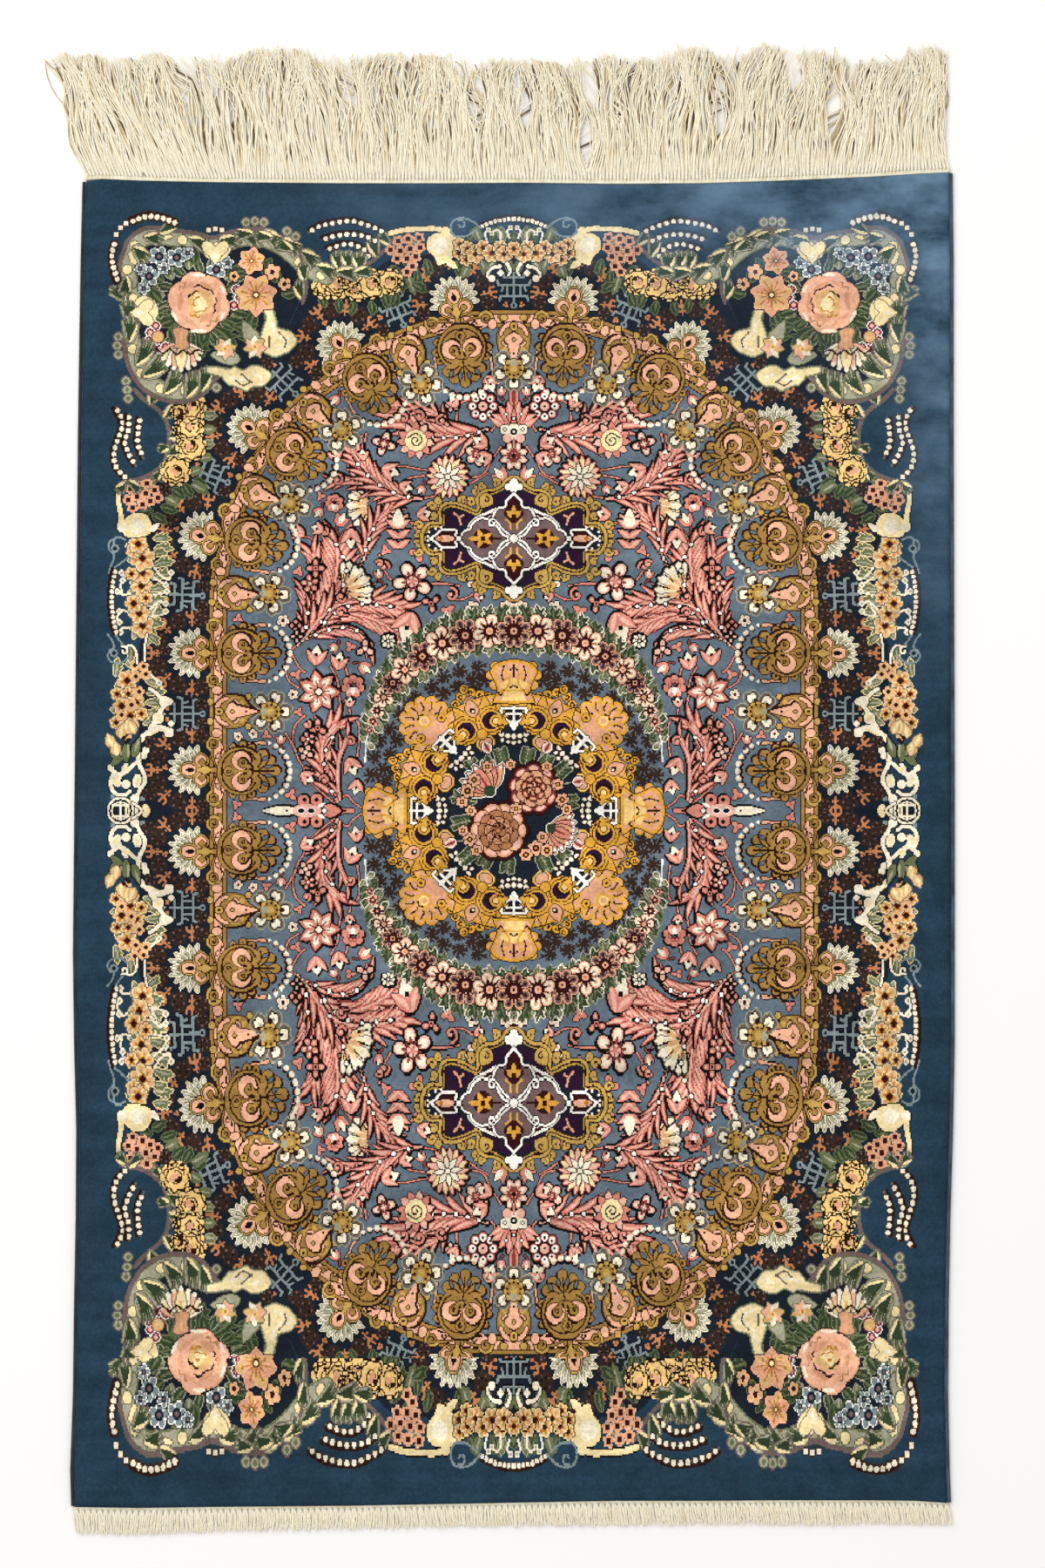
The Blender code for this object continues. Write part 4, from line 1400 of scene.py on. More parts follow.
    # a carnation that hangs down, seen from the side
    for k in (-4, 4, -3, 3, -2, 2, -1, 1, 0):
        leaf(302, 421, 270 + 19 * k, 23 - 0.5 * abs(k), 9, ("straw", "blush", "cream")[k % 3],
            edge="fawn")
        leaf(302, 421, 270 + 19 * k, 12, 3, "orange" if k % 2 else "peach")
        disc(*turned(302, 421, 270 + 19 * k, 21 - 0.5 * abs(k)), 2.0, "cream")
    stroke([(324, 419), (318, 415), (312, 419), (306, 414), (300, 418), (294, 414), (288, 418),
        (281, 416)], 1.6, "brown")
    patch([(308, 420), (307, 428), (309, 436), (302, 438), (296, 435), (297, 428), (295, 420)], "rose",
        edge="fawn")
    stroke([(302, 420), (302, 434)], 1.4, "peach")
    # pale hearts in the frame
    for x, y, a in ((271, 508, 90), (336, 452, 180)):
        with outlined("fawn"):
            for side in (-1, 1):
                oval(*turned(x, y, a, 2, 5.5 * side), a + 40 * side, 15, 10, "straw")
            leaf(*turned(x, y, a, 4), a + 180, 16, 10, "straw")
        leaf(*turned(x, y, a, 0), a + 180, 9, 3, "cream")
    rose(286, 461, 15, 30)
    starPetals(234, 468, 10, 19, 7)
    starPetals(238, 499, 40, 12, 6)
    for x, y, r in ((219, 489, 7.5), (254, 485, 5), (208, 478, 6)):
        petals(x, y, r, 5, [(1.0, "blush"), (0.7, "peach")], x, edge="ink")
        disc(x, y, 1.8, "maroon")
    with outlined("twig"):
        pearlString([(359, 480), (363, 492), (365, 504), (362, 516)], 5.4, 2.4, (2.6, 0))
        pearlString([(348, 534), (334, 539), (320, 538), (306, 533)], 5.6, 2.4, (0, 2.6))
    for x, y in ((352, 533), (357, 529), (361, 523), (277, 527), (271, 528), (265, 527)):
        rings(x, y, (3.2, "twig"), (2.4, "cream"))


def drawTopGarland():
    for x, y, turn, long in ((52, 498, 250, 13), (42, 497, 280, 14), (30, 499, 240, 14),
            (18, 499, 300, 13), (6, 500, 250, 12), (40, 516, 110, 13), (30, 517, 60, 14),
            (20, 517, 110, 14), (9, 517, 70, 13), (2, 516, 100, 10), (112, 494, 220, 16),
            (104, 488, 250, 18), (96, 484, 240, 16), (88, 490, 260, 16), (80, 500, 250, 15),
            (84, 512, 20, 14), (118, 470, 250, 14), (106, 470, 280, 14), (100, 498, 200, 14),
            (130, 462, 250, 12), (146, 462, 270, 12), (160, 464, 250, 12), (176, 468, 240, 12),
            (92, 478, 200, 14)):
        sprayLeaf(x, y, turn, long, 6, 0.15, "leafDark" if int(x) % 3 else "leaf",
            "leafLight" if int(x) % 2 else "leaf")
    frameStem((140, 492), (128, 499), (118, 508), (110, 518), (107, 524), wide=3.2)
    frameLeaf(124, 502, 60, 20, 12, 0.3)
    frameLeaf(112, 514, 30, 14, 9, 0.3)
    with outlined("ink"):
        stroke([(112, 524), (100, 527), (84, 528), (70, 528), (60, 525)], 4.6, "straw")
        patch([(78, 520), (70, 524), (60, 524), (50, 520), (48, 508), (58, 500), (68, 495), (72, 502),
            (79, 510)], "straw")
        leaf(62, 500, 215, 14, 6, "straw")
        disc(62, 526, 4, "straw")
    patch([(74, 518), (64, 520), (60, 512), (66, 506), (74, 509)], "cream")
    hydrangea([(105, 517), (96, 519), (86, 520), (112, 509), (103, 508), (94, 510), (85, 511), (106, 501),
        (97, 501), (89, 503), (92, 494), (97, 489)])
    for x, y, r in ((50, 506, 5.5), (49, 514, 6), (43, 500, 6), (42, 510, 7), (35, 505, 8.5),
            (28, 511, 7), (20, 506, 8.5), (12, 511, 7), (9, 505, 8), (0, 510, 7)):
        with outlined("brown"):
            peachFlower(x, y, 9 * x, r, 2.0)
    for arm in ([(24, 516), (26, 524), (23, 527)], [(12, 516), (12, 524), (16, 527), (20, 524)],
            [(4, 520), (6, 526), (3, 529)]):
        creamArm(*arm, knob=2.2)
    pearlString([(-30, 530), (-16, 535), (0, 537), (16, 535), (30, 530)], 4.2, 1.9, (0, 2.6))
    stroke([(30, 529), (38, 535), (48, 538), (56, 534), (57, 526), (52, 521), (42, 522), (34, 527)], 1.8,
        "steel")
    stroke(coil(48, 532, 4.5, 60, 1, 0.8, 0.4), 1.7, "steel")
    for places in ([(186, 525), (174, 531), (160, 534), (147, 535), (132, 531), (118, 525)],
            [(174, 518), (160, 522), (148, 523), (134, 521), (124, 516)],
            [(170, 509), (158, 513), (148, 514), (137, 510), (132, 503)]):
        pearlString(places, 6.6, 2.1, (0, 2.6))
    for x, y, r, turn in ((172, 476, 12, 0), (160, 478, 14, 30), (142, 474, 12, 120), (128, 478, 14, 200),
            (112, 480, 12, 300), (150, 482, 9, 80)):
        with outlined("ink"):
            carnation(x, y, r, turn)
    for x, y in ((155, 497), (146, 497), (136, 496)):
        frameLeaf(x + 4, y - 6, 80, 18, 14, 0.2)
    with outlined("ink"):
        stroke([(13, 494), (20, 492), (24, 486), (20, 482)], 3.2, "cream", 2)
        disc(20, 483, 3.4, "cream")
        stroke([(6, 496), (3, 490), (5, 486)], 3.6, "cream", 2)
        disc(12, 488, 2.6, "cream")
@motif
def fullFlower(r, count, outer, inner, folds="maroon"):
    # a large open flower: four rounds of veined petals, each round smaller and turned on
    with outlined("ink"):
        disc(0, 0, r * 0.8, folds)
        for i, a in spokes(count):
            oval(*around(a, r * 0.66), a + 90, r * 0.7, r * 0.68, folds)
    for step, (out, size) in enumerate(((0.66, 0.54), (0.47, 0.44), (0.30, 0.34), (0.15, 0.22))):
        petals = count - step
        for i in range(petals):
            a = 360 / petals * (i + 0.5 * (step % 2))
            px, py = around(a, r * out)
            oval(px, py, a + 90, r * size, r * size * 0.86, inner if step % 2 else outer, edge=folds)
            oval(*turned(px, py, a, r * size * 0.16), a + 90, r * size * 0.66, r * size * 0.3,
                "pinkLight" if step == 0 else inner)
            for side in (-0.14, 0.14):
                stroke([turned(px, py, a, -r * size * 0.4, r * side),
                    turned(px, py, a, 0, r * side * 1.2)], 1.0, folds)
    rings(0, 0, (r * 0.10, folds), (r * 0.06, "rust"))


@motif
def bellFlower(r):
    # a ruffled flower seen from the side
    with outlined("white", "ink"):
        for i in (-3, 3, -2, 2, -1, 1, 0):
            a = i * 19
            leaf(0, 0, a, r * 1.15, r * 0.42, "rose" if i % 2 else "pink", edge="maroon")
            leaf(0, 0, a, r * 0.8, 1.8, "pinkDeep")
        disc(0, 0, r * 0.22, "leafDark")
    for i in range(-3, 4):
        disc(*around(i * 19, r * 1.0), 1.5, "white")


@motif
def bouquetLeaf(long, wide=11):
    # a toothed leaf: white edge, dark green, pale midrib and side veins
    with outlined("leafLight"):
        leaf(0, 0, 0, long, wide, "leafDark", 0.12)
        for i in range(1, 5):
            for _ in bothSides():
                place = (long * (0.15 + 0.15 * i), wide * 0.18)
                leaf(*place, 48, wide * 0.5, 3.4, "leafDark")
    stroke([(0, 0), (long * 0.9, long * 0.04)], 1.3, "leafLight")
    for i in range(1, 5):
        for _ in bothSides():
            place = (long * (0.1 + 0.16 * i), 0)
            stroke([place, turned(*place, 48, wide * 0.38)], 1.0, "leaf")


bouquetLeaves = [(-24, 24, 128, 30), (-34, 8, 165, 24), (-36, -8, 192, 22), (-30, -30, 222, 26),
    (-4, -38, 262, 20), (22, -36, 296, 22), (38, -14, 335, 22), (38, 6, 8, 22), (32, 26, 42, 26),
    (10, 40, 76, 18), (-8, 40, 108, 18), (34, -30, 318, 20), (-14, 34, 140, 20), (24, 36, 62, 18),
    (-20, -36, 240, 18)]
bouquetSprays = [(-42, 18, 6.5), (-36, 28, 6), (-47, 8, 5.5), (-39, 0, 5), (20, -34, 7), (30, -36, 6),
    (11, -40, 6), (26, -24, 5.5), (44, 10, 6), (48, 1, 5), (-40, -26, 6), (-34, -36, 5), (-46, -18, 5),
    (40, 24, 5.5), (-24, 40, 5), (30, 40, 5), (2, 2, 5.5), (-3, 42, 5)]


def drawBouquet():
    for place in bouquetLeaves:
        bouquetLeaf(*place)
    for x, y, turn, long in ((-12, 34, 118, 22), (18, 34, 62, 22), (-40, -22, 204, 14),
            (42, -22, 332, 14), (38, 20, 18, 17)):
        stroke([(x, y), turned(x, y, turn, long * 0.5, 2), turned(x, y, turn, long)], 1.4, "leafLight")
        bx, by = turned(x, y, turn, long)
        leaf(bx, by, turn, 10, 7, "pinkLight", 0, "pinkDeep", edge="white maroon")
    bellFlower(-22, 18, 122, 24)
    bellFlower(34, -16, -24, 20)
    fullFlower(18, 20, 10, 25, 9, "pinkDeep", "rose")
    fullFlower(-14, -18, 0, 28, 10, "rose", "roseDeep")
    for x, y, r in bouquetSprays:
        petals(x, y, r, 6, [(1.0, "blush"), (0.6, "rose")], 11 * x, edge="ink")
        rings(x, y, (r * 0.46, "maroon"), (r * 0.2, "gold"))


def drawGround():
    depth, along = alongPath(nightPath)
    chart.knots[depth > 0] = code["night"]
    depth, along = alongPath(ringPath)
    for d, yarn in ((0, "brown"), (1, "olive"), (4, "brown"), (5, "blush"), (12, "brown"), (13, "olive"),
            (16, "brown")):
        chart.knots[depth > d] = code[yarn]
    chart.knots[depth > 17] = code["slate"]
    # small olive scrolls wind along the pink strip of the ring
    for run in range(20, 960, 13):
        at = (np.abs(along - run) < 1) & (np.abs(depth - 8.5) < 1)
        for y, x in np.argwhere(at)[:1]:
            stroke(coil(x + 0.5, y + 0.5, 3.2, run * 9, 1, 0.9, 0.2), 2.4, "olive", edge="brown")


def drawRing():
    for draw, places in ((fanFlower, fanFlowers), (steelCross, steelCrosses), (pearlArc, ringPalmettes),
            (stripScrolls, ringPalmettes), (cartouche, ringCartouches), (palmette, ringPalmettes),
            (starFlower, ringStars)):
        for place in places:
            draw(*place)


def fieldFiller(x, y, reach):
    # buds, trefoils and little flowers that fill the field between the larger ones
    turn, kind = 53 * x + 29 * y, int(x * 7 + y * 3) % 4
    r = 0.62 * reach
    with outlined("ink"):
        if kind == 0:
            petals(x, y, r, 5, [(1.0, "cream"), (0.6, "pinkLight")], turn)
        elif kind == 1:
            for a in (0, 125, -125):
                oval(*turned(x, y, turn + a, 0.5 * r), turn + a, 1.1 * r, 0.75 * r, "pink")
        else:
            stroke([turned(x, y, turn, -1.5 * r, 0.5 * r), turned(x, y, turn, -r), (x, y)], 1.6,
                "pinkDeep")
            for side in (-1, 1):
                leaf(*turned(x, y, turn, -0.6 * r), turn + 32 * side, 1.7 * r, 0.8 * r, "pink")
            leaf(*turned(x, y, turn, -0.3 * r), turn, 1.6 * r, 0.7 * r, "cream")
    disc(x, y, 0.9 if kind else 1.3, "maroon")


drawGround()
for place in sprigPlaces:
    twigSprig(*place)
drawField()
drawRing()
for place in list(openPlaces("slate", 7, 12)):
    if math.hypot(place[0], place[1]) > 172:
        fieldFiller(*place)
drawMedallion()
drawWreath()
drawPendant(0, 247)
drawGarland()
drawSideFrame()
drawTopGarland()
drawCorner()
for x, y, reach in list(openPlaces("night", 5, 10)):
    inBorder = math.hypot(x, y) > 200 and x < 335 and y < 500 and x + y < 640
    if inBorder and (x > 82 or y > 302):
        nightFiller(x, y, reach)
quarter = chart.knots

# the whole rug: the quarter mirrored about a middle that lies 29 mm above the rug's own, its
# lower half woven a little longer towards the short fringe
chartWide, chartHigh, chartMiddleY = 796, 1200, 0.5
designMiddle = (0.4, 29.25)
lowerDrawn = [0, 104, 162, 246, 456, 465, 538, 576]
lowerWoven = [0, 104, 161, 264, 495, 497, 596, 640]
acrossRug = np.abs(np.arange(chartWide) + 0.5 - chartWide / 2 - designMiddle[0])
upRug = np.arange(chartHigh) + 0.5 - chartHigh / 2 + chartMiddleY - designMiddle[1]
drawnUp = np.where(upRug > 0, upRug, np.interp(-upRug, lowerWoven, lowerDrawn))
rugKnots = quarter[np.clip(drawnUp.astype(int), 0, 575)][:, np.clip(acrossRug.astype(int), 0, 401)]

chart = Chart(124, 124, "night", -62, -62)
chart.knots[:] = -1
drawBouquet()
left, low = chartWide // 2 - 62, int(chartHigh / 2 + designMiddle[1]) - 62
middle = rugKnots[low : low + 124, left : left + 124]
middle[chart.knots >= 0] = chart.knots[chart.knots >= 0]
print("knots charted:", rugKnots.size)


pileLook = {
    "roughness": 0.62,
    "depth": 0.95,  # the tufts shade one another, so the dyes look a little deeper than they are
    "sheen": 0.03,  # silk pile catches light at low angles
    "sheenRoughness": 0.25,
    "raggedKnots": 0.42,  # how far the edge of a knot wanders, in knots
    "tuftLeanShadeAndTint": 0.3,  # tufts lean: partly painted light and shade where they catch the light differently, partly dye they take a little differently
    "abrash": 0.17,  # bands of dye lots across the rug
    "paintedSheen": 0.38,  # painted sheen: how far the brightest corner is mixed towards a pale blue
    "paintedSheenColour": "#83a5c4",
    "tuftBump": 0.35,
}


def readKnots(add, ragged):
    # finds the yarn of the knot under a point, from the nine packed numbers of its face
    place = add("TexCoord", out="Object")
    # tufts are 1 mm across, so the wandering has features of about 0.8 mm
    wander = add("TexNoise", {"Vector": place, "Scale": 1250.0, "Detail": 1.0}, "Color")
    room, start = (2 * ragged, 2 * ragged, 0.0), (1.0 - ragged, 1.0 - ragged, 0.0)
    pushed = add("VectorMath", (wander, room, start), operation="MULTIPLY_ADD")
    spot = add("VectorMath", (add("UVMap", uv_map="knots"), pushed), operation="ADD")
    alongFace, upFace = add("SeparateXYZ", (spot,)).node.outputs[:2]
    column = add("Math", (add("Math", (alongFace, 5.99), operation="MINIMUM"),), operation="FLOOR")
    row = add("Math", (add("Math", (upFace, 5.99), operation="MINIMUM"),), operation="FLOOR")
    order = add("Math", (row, 6.0, column), operation="MULTIPLY_ADD")
    number = add("Math", (add("Math", (order, 4.0), operation="DIVIDE"),), operation="FLOOR")
    digit = add("Math", (number, -4.0, order), operation="MULTIPLY_ADD")
    third = add("Math", (number, 1 / 3, 0.5 / 3), operation="MULTIPLY_ADD")
    group = add("Math", (third,), operation="FLOOR")
    within = add("Math", (group, -3.0, number), operation="MULTIPLY_ADD")
    packed = [add("Attribute", out="Vector", attribute_name=name) for name in knotLayers]
    for step in (0, 1):
        later = add("Math", (group, step + 0.5), operation="GREATER_THAN")
        packed[step + 1] = add("Mix", {0: later, 4: packed[step], 5: packed[step + 1]}, 1,
            data_type="VECTOR")
    axes = [add("Math", (within, axis, 0.4), operation="COMPARE") for axis in (0.0, 1.0, 2.0)]
    pick = add("CombineXYZ", axes)
    value = add("VectorMath", (packed[2], pick), "Value", operation="DOT_PRODUCT")
    size = add("Math", (add("Math", (32.0, digit), operation="POWER"),), operation="ROUND")
    shifted = add("Math", (add("Math", (value, size), operation="DIVIDE"),), operation="FLOOR")
    yarn = add("Math", (shifted, 32.0), operation="MODULO")
    ramp = add("ValToRGB", (add("Math", (yarn, 1 / 32, 0.5 / 32), operation="MULTIPLY_ADD"),))
    ramp.node.color_ramp.interpolation = "CONSTANT"
    setStops(ramp, *[(i / 32, hexColour) for i, hexColour in enumerate(yarns.values())])
    return ramp, place, spot


def pileMaterial():
    # mulberry silk, knotted and shorn short: a satin surface of 1 mm tufts, with dye lots that
    # run across the rug in faint bands
    look = pileLook
    made, add = startMaterial("knottedSilkPile")
    colour, place, _ = readKnots(add, look["raggedKnots"])
    # patches of 1 to 3 mm where the tufts lean: painted light and shade where they catch the light
    # differently, with a little dye difference
    leaning = add("TexNoise", {"Vector": place, "Scale": 380.0, "Detail": 3.0, "Roughness": 0.7})
    tuftShadeAndTint = add("MapRange", (leaning, 0.25, 0.75, 1 - look["tuftLeanShadeAndTint"], 1 + look["tuftLeanShadeAndTint"]))
    # dye lots: bands 8 to 30 mm high that run right across, around the painted shade of tufts shading one
    # another (depth)
    across = add("VectorMath", (place, (2.5, 60.0, 0.0)), operation="MULTIPLY")
    bands = add("TexNoise", {"Vector": across, "Scale": 1.0, "Detail": 3.0})
    lotAndTuftShade = add("MapRange", (bands, 0.3, 0.7, look["depth"] - look["abrash"],
        look["depth"] + look["abrash"]))
    clouds = add("TexNoise", {"Vector": place, "Scale": 24.0, "Detail": 7.0, "Roughness": 0.68})
    cloud = add("MapRange", (clouds, 0.32, 0.68, 0.76, 1.24))
    # the yarn colour times painted tuft shade and tint, dye lots with painted shade, and clouds
    factor = add("Math", (add("Math", (tuftShadeAndTint, lotAndTuftShade), operation="MULTIPLY"), cloud), operation="MULTIPLY")
    dyedAndShaded = add("VectorMath", {0: colour, "Scale": factor}, operation="SCALE")
    # painted sheen: the plain outer band is painted paler and bluer in patches, most of all at the right and
    # / at the end of the long fringe, where the silk pile catches the light
    x, y = add("SeparateXYZ", (place,)).node.outputs[:2]
    diagonal = add("Math", (y, 1.4, x), operation="MULTIPLY_ADD")
    corner = add("MapRange", (diagonal, 0.55, 1.17, 0.0, look["paintedSheen"]))
    patches = add("VectorMath", (place, (13.0, 24.0, 0.0)), operation="MULTIPLY")
    patchy = add("TexNoise", {"Vector": patches, "Scale": 1.0, "Detail": 8.0, "Roughness": 0.62})
    paintedLight = add("MapRange", (patchy, 0.36, 0.66, 0.15, 1.6))
    toSide = add("Math", (add("Math", (x,), operation="ABSOLUTE"), 1.5), operation="MULTIPLY")
    toRim = add("Math", (toSide, add("Math", (y,), operation="ABSOLUTE")), operation="MAXIMUM")
    rim = add("MapRange", (toRim, 0.5, 0.56, 0.1, 1.0))
    paintedSheen = add("Math", (add("Math", (corner, paintedLight), operation="MULTIPLY"), rim), operation="MULTIPLY")
    # painted sheen: the outer band's colour mixed towards a pale blue
    withPaintedSheen = add("Mix", {0: paintedSheen, 6: dyedAndShaded, 7: toLinear(look["paintedSheenColour"])}, 2, data_type="RGBA")
    # fibres make the bump; single tufts are too fine to show from above, so it stays low
    fibres = add("TexNoise", {"Vector": place, "Scale": 1600.0, "Detail": 2.0})
    bump = add("Bump", {"Strength": look["tuftBump"], "Distance": 0.0006, "Height": fibres})
    roughness = look["roughness"]
    finish = {"Base Color": withPaintedSheen, "Roughness": add("MapRange",
        (clouds, 0.0, 1.0, roughness - 0.06, roughness + 0.06)), "Normal": bump,
        "Sheen Weight": look["sheen"], "Sheen Roughness": look["sheenRoughness"],
        "Specular IOR Level": 0.06}
    closeMaterial(add, finish)
    return made


def backMaterial():
    # the back of the same silk knots, beaten down flat: duller, with the wefts showing as fine ribs
    made, add = startMaterial("wovenSilkBack")
    colour, _, spot = readKnots(add, 0.12)
    up = add("SeparateXYZ", (spot,), 1)
    wefts = add("Math", (add("Math", (up, 2 * math.pi), operation="MULTIPLY"),), operation="SINE")
    shade = add("MapRange", (wefts, -1.0, 1.0, 0.82, 1.02))
    finish = {"Base Color": add("VectorMath", {0: colour, "Scale": shade}, operation="SCALE"),
        "Roughness": 0.85, "Normal": add("Bump", {"Strength": 0.4, "Distance": 0.0003, "Height": wefts}),
        "Specular IOR Level": 0.2}
    closeMaterial(add, finish)
    return made


# millimetres from the middle: how far up, left side, right side
sideTable = np.array([(-604, -402.0, 397.5), (-570, -403.0, 396.0), (-500, -400.5, 394.5),
    (-420, -399.5, 395.0), (-340, -398.0, 396.5), (-260, -397.5, 399.0), (-180, -399.5, 400.5),
    (-100, -400.5, 400.5), (50, -399.0, 400.5), (210, -397.5, 400.0), (370, -396.0, 399.5),
    (530, -393.5, 399.5), (612, -391.5, 398.5)])
# how far across, short-fringe end, long-fringe end
endTable = np.array([(-405, -602.0, 600.5), (-375, -602.5, 602.5), (-340, -603.0, 601.0),
    (-270, -602.0, 599.5), (-150, -601.0, 598.5), (-70, -599.5, 598.5), (10, -598.0, 599.0),
    (90, -596.5, 598.0), (170, -596.5, 598.5), (245, -596.0, 601.0), (325, -596.0, 604.5),
    (365, -596.5, 607.0), (405, -599.0, 609.0)])


def sideAt(y, column):
    return np.interp(y, sideTable[:, 0], sideTable[:, column])


def endAt(x, column):
    return np.interp(x, endTable[:, 0], endTable[:, column])


def meshPiece(name, points, faces, finish, stands):
    # a piece of its own, in the colours of one slot, that stands for one solid of the part
    mesh = bpy.data.meshes.new(name)
    mesh.from_pydata(points * mm, [], faces)
    mesh.materials.append(finish)
    mesh.shade_smooth()
    piece = bpy.data.objects.new(name, mesh)
    bpy.context.scene.collection.objects.link(piece)
    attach(piece, "root")
    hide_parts(stands)
    return piece


def gridFaces(rows, columns):
    # the quads of a grid of points, and the points round its rim
    index = np.arange(rows * columns).reshape(rows, columns)
    quads = np.stack([index[:-1, :-1], index[:-1, 1:], index[1:, 1:], index[1:, :-1]], -1)
    rim = np.concatenate([index[0, :-1], index[:-1, -1], index[-1, :0:-1], index[:0:-1, 0]])
    return quads.reshape(-1, 4), rim


# the pile and the back
clothSizes = {
    "knotsAFace": 4,  # a face carries this many knots each way, 1 mm each
    "cordRoom": 3.7,  # the side cord and its gap
    "edgeBand": 32.0,  # plain outer band that takes up the uneven edge
    "pileTop": 3.9,
    "pileFoot": 1.1,  # where the pile stands on the foundation
    "edgeDrop": 0.9,  # how far the outermost pile leans down
    "backTop": 1.0,
}


def gridPlace(count, low, high, lowEdge, highEdge, band):
    # even steps across the middle, squeezed or stretched only inside the outer band
    even = np.linspace(low, high, count)
    shift = np.where(even < low + band, (lowEdge - low) * (1 - (even - low) / band),
        np.where(even > high - band, (highEdge - high) * (1 - (high - even) / band), 0.0))
    return even + shift


def clothGrid(height):
    # points of the cloth, rows from the short-fringe end to the long-fringe end
    s = clothSizes
    cell = s["knotsAFace"]
    columns = chartWide // cell + 1
    rows = chartHigh // cell + 1
    evenX = np.linspace(-chartWide / 2, chartWide / 2, columns)
    evenY = np.linspace(-chartHigh / 2, chartHigh / 2, rows) + chartMiddleY
    points = np.empty((rows, columns, 3))
    for j, y in enumerate(evenY):
        left, right = sideAt(y, 1) + s["cordRoom"], sideAt(y, 2) - s["cordRoom"]
        points[j, :, 0] = gridPlace(columns, evenX[0], evenX[-1], left, right, s["edgeBand"])
    for i, x in enumerate(evenX):
        points[:, i, 1] = gridPlace(rows, evenY[0], evenY[-1], endAt(x, 1), endAt(x, 2), s["edgeBand"])
    points[:, :, 2] = height
    return points


def packKnots(knots):
    # every face gets its own 4 x 4 knots and a border of one knot from its neighbours:
    # 36 knots of 32 yarns, four to a number, nine numbers, three vectors
    cell = clothSizes["knotsAFace"]
    rows, columns = knots.shape[0] // cell, knots.shape[1] // cell
    wide = np.pad(knots, 1, mode="edge").astype(np.int64)
    high, long = rows * cell, columns * cell
    digits = [wide[r : r + high : cell, c : c + long : cell] for r in range(6) for c in range(6)]
    digits = np.stack(digits, axis=-1).reshape(rows * columns, 9, 4)
    return (digits * (32 ** np.arange(4))).sum(-1).astype(np.float32)


def carryKnots(mesh, knots):
    packed = packKnots(knots)
    for i, name in enumerate(knotLayers):
        layer = mesh.attributes.new(name, "FLOAT_VECTOR", "FACE")
        values = np.zeros((len(mesh.polygons), 3), np.float32)
        values[: len(packed)] = packed[:, 3 * i : 3 * i + 3]
        layer.data.foreach_set("vector", values.ravel())


def cloth(name, points, knots, foot, finish, upward):
    # the charted face of the cloth, with a short wall down (or up) at its rim
    quads, rim = gridFaces(*points.shape[:2])
    points = points.reshape(-1, 3)
    low = points[rim] * (1, 1, 0) + (0, 0, foot)
    lowIndex = len(points) + np.arange(len(rim))
    wall = np.stack([rim, lowIndex, np.roll(lowIndex, -1), np.roll(rim, -1)], -1)
    faces = np.concatenate([quads, wall])
    if not upward:
        faces = faces[:, ::-1]
    points = np.concatenate([points, low])
    piece = meshPiece(name, points, faces.tolist(), finish, "rug_body")
    mesh = piece.data
    carryKnots(mesh, knots)
    cell = clothSizes["knotsAFace"]
    corners = np.array([(0, 0), (cell, 0), (cell, cell), (0, cell)], np.float32)
    wallCorners = np.full((4, 2), 0.5, np.float32)
    if not upward:
        corners = corners[::-1]
    local = np.concatenate([np.tile(corners, (len(quads), 1)), np.tile(wallCorners, (len(wall), 1))])
    layer = mesh.uv_layers.new(name="knots")
    layer.data.foreach_set("uv", local.ravel())
    addFlatUv(mesh)
    return piece


def addFlatUv(mesh):
    # a plain map from above over the whole piece, inside the unit square
    places = np.empty(len(mesh.vertices) * 3, np.float32)
    mesh.vertices.foreach_get("co", places)
    places = places.reshape(-1, 3)[:, :2]
    low, high = places.min(0), places.max(0)
    flat = (places - low) / (high - low) * 0.98 + 0.01
    corners = np.empty(len(mesh.loops), np.int32)
    mesh.loops.foreach_get("vertex_index", corners)
    layer = mesh.uv_layers.new(name="OFBake")
    layer.data.foreach_set("uv", flat[corners].ravel())


def makeCloth():
    s = clothSizes
    points = clothGrid(s["pileTop"])
    # the pile leans over at the very edge and is never quite level
    rows, columns = points.shape[:2]
    fromEdge = np.minimum(np.minimum.outer(np.arange(rows), np.arange(columns)),
        np.minimum.outer(np.arange(rows)[::-1], np.arange(columns)[::-1]))
    waves = np.sin(points[:, :, 0] * 0.021 + 1.3) * np.sin(points[:, :, 1] * 0.017 + 0.4)
    points[:, :, 2] += 0.08 * waves + lucky.normal(0, 0.03, (rows, columns))
    points[:, :, 2] -= s["edgeDrop"] * (fromEdge == 0)
    pile = cloth("rugPile", points, rugKnots, s["pileFoot"], pileMaterial(), True)
    back = cloth("rugBack", clothGrid(0.05), rugKnots, s["backTop"], backMaterial(), False)
    print("cloth:", len(pile.data.polygons), "faces on the pile")
    return pile, back


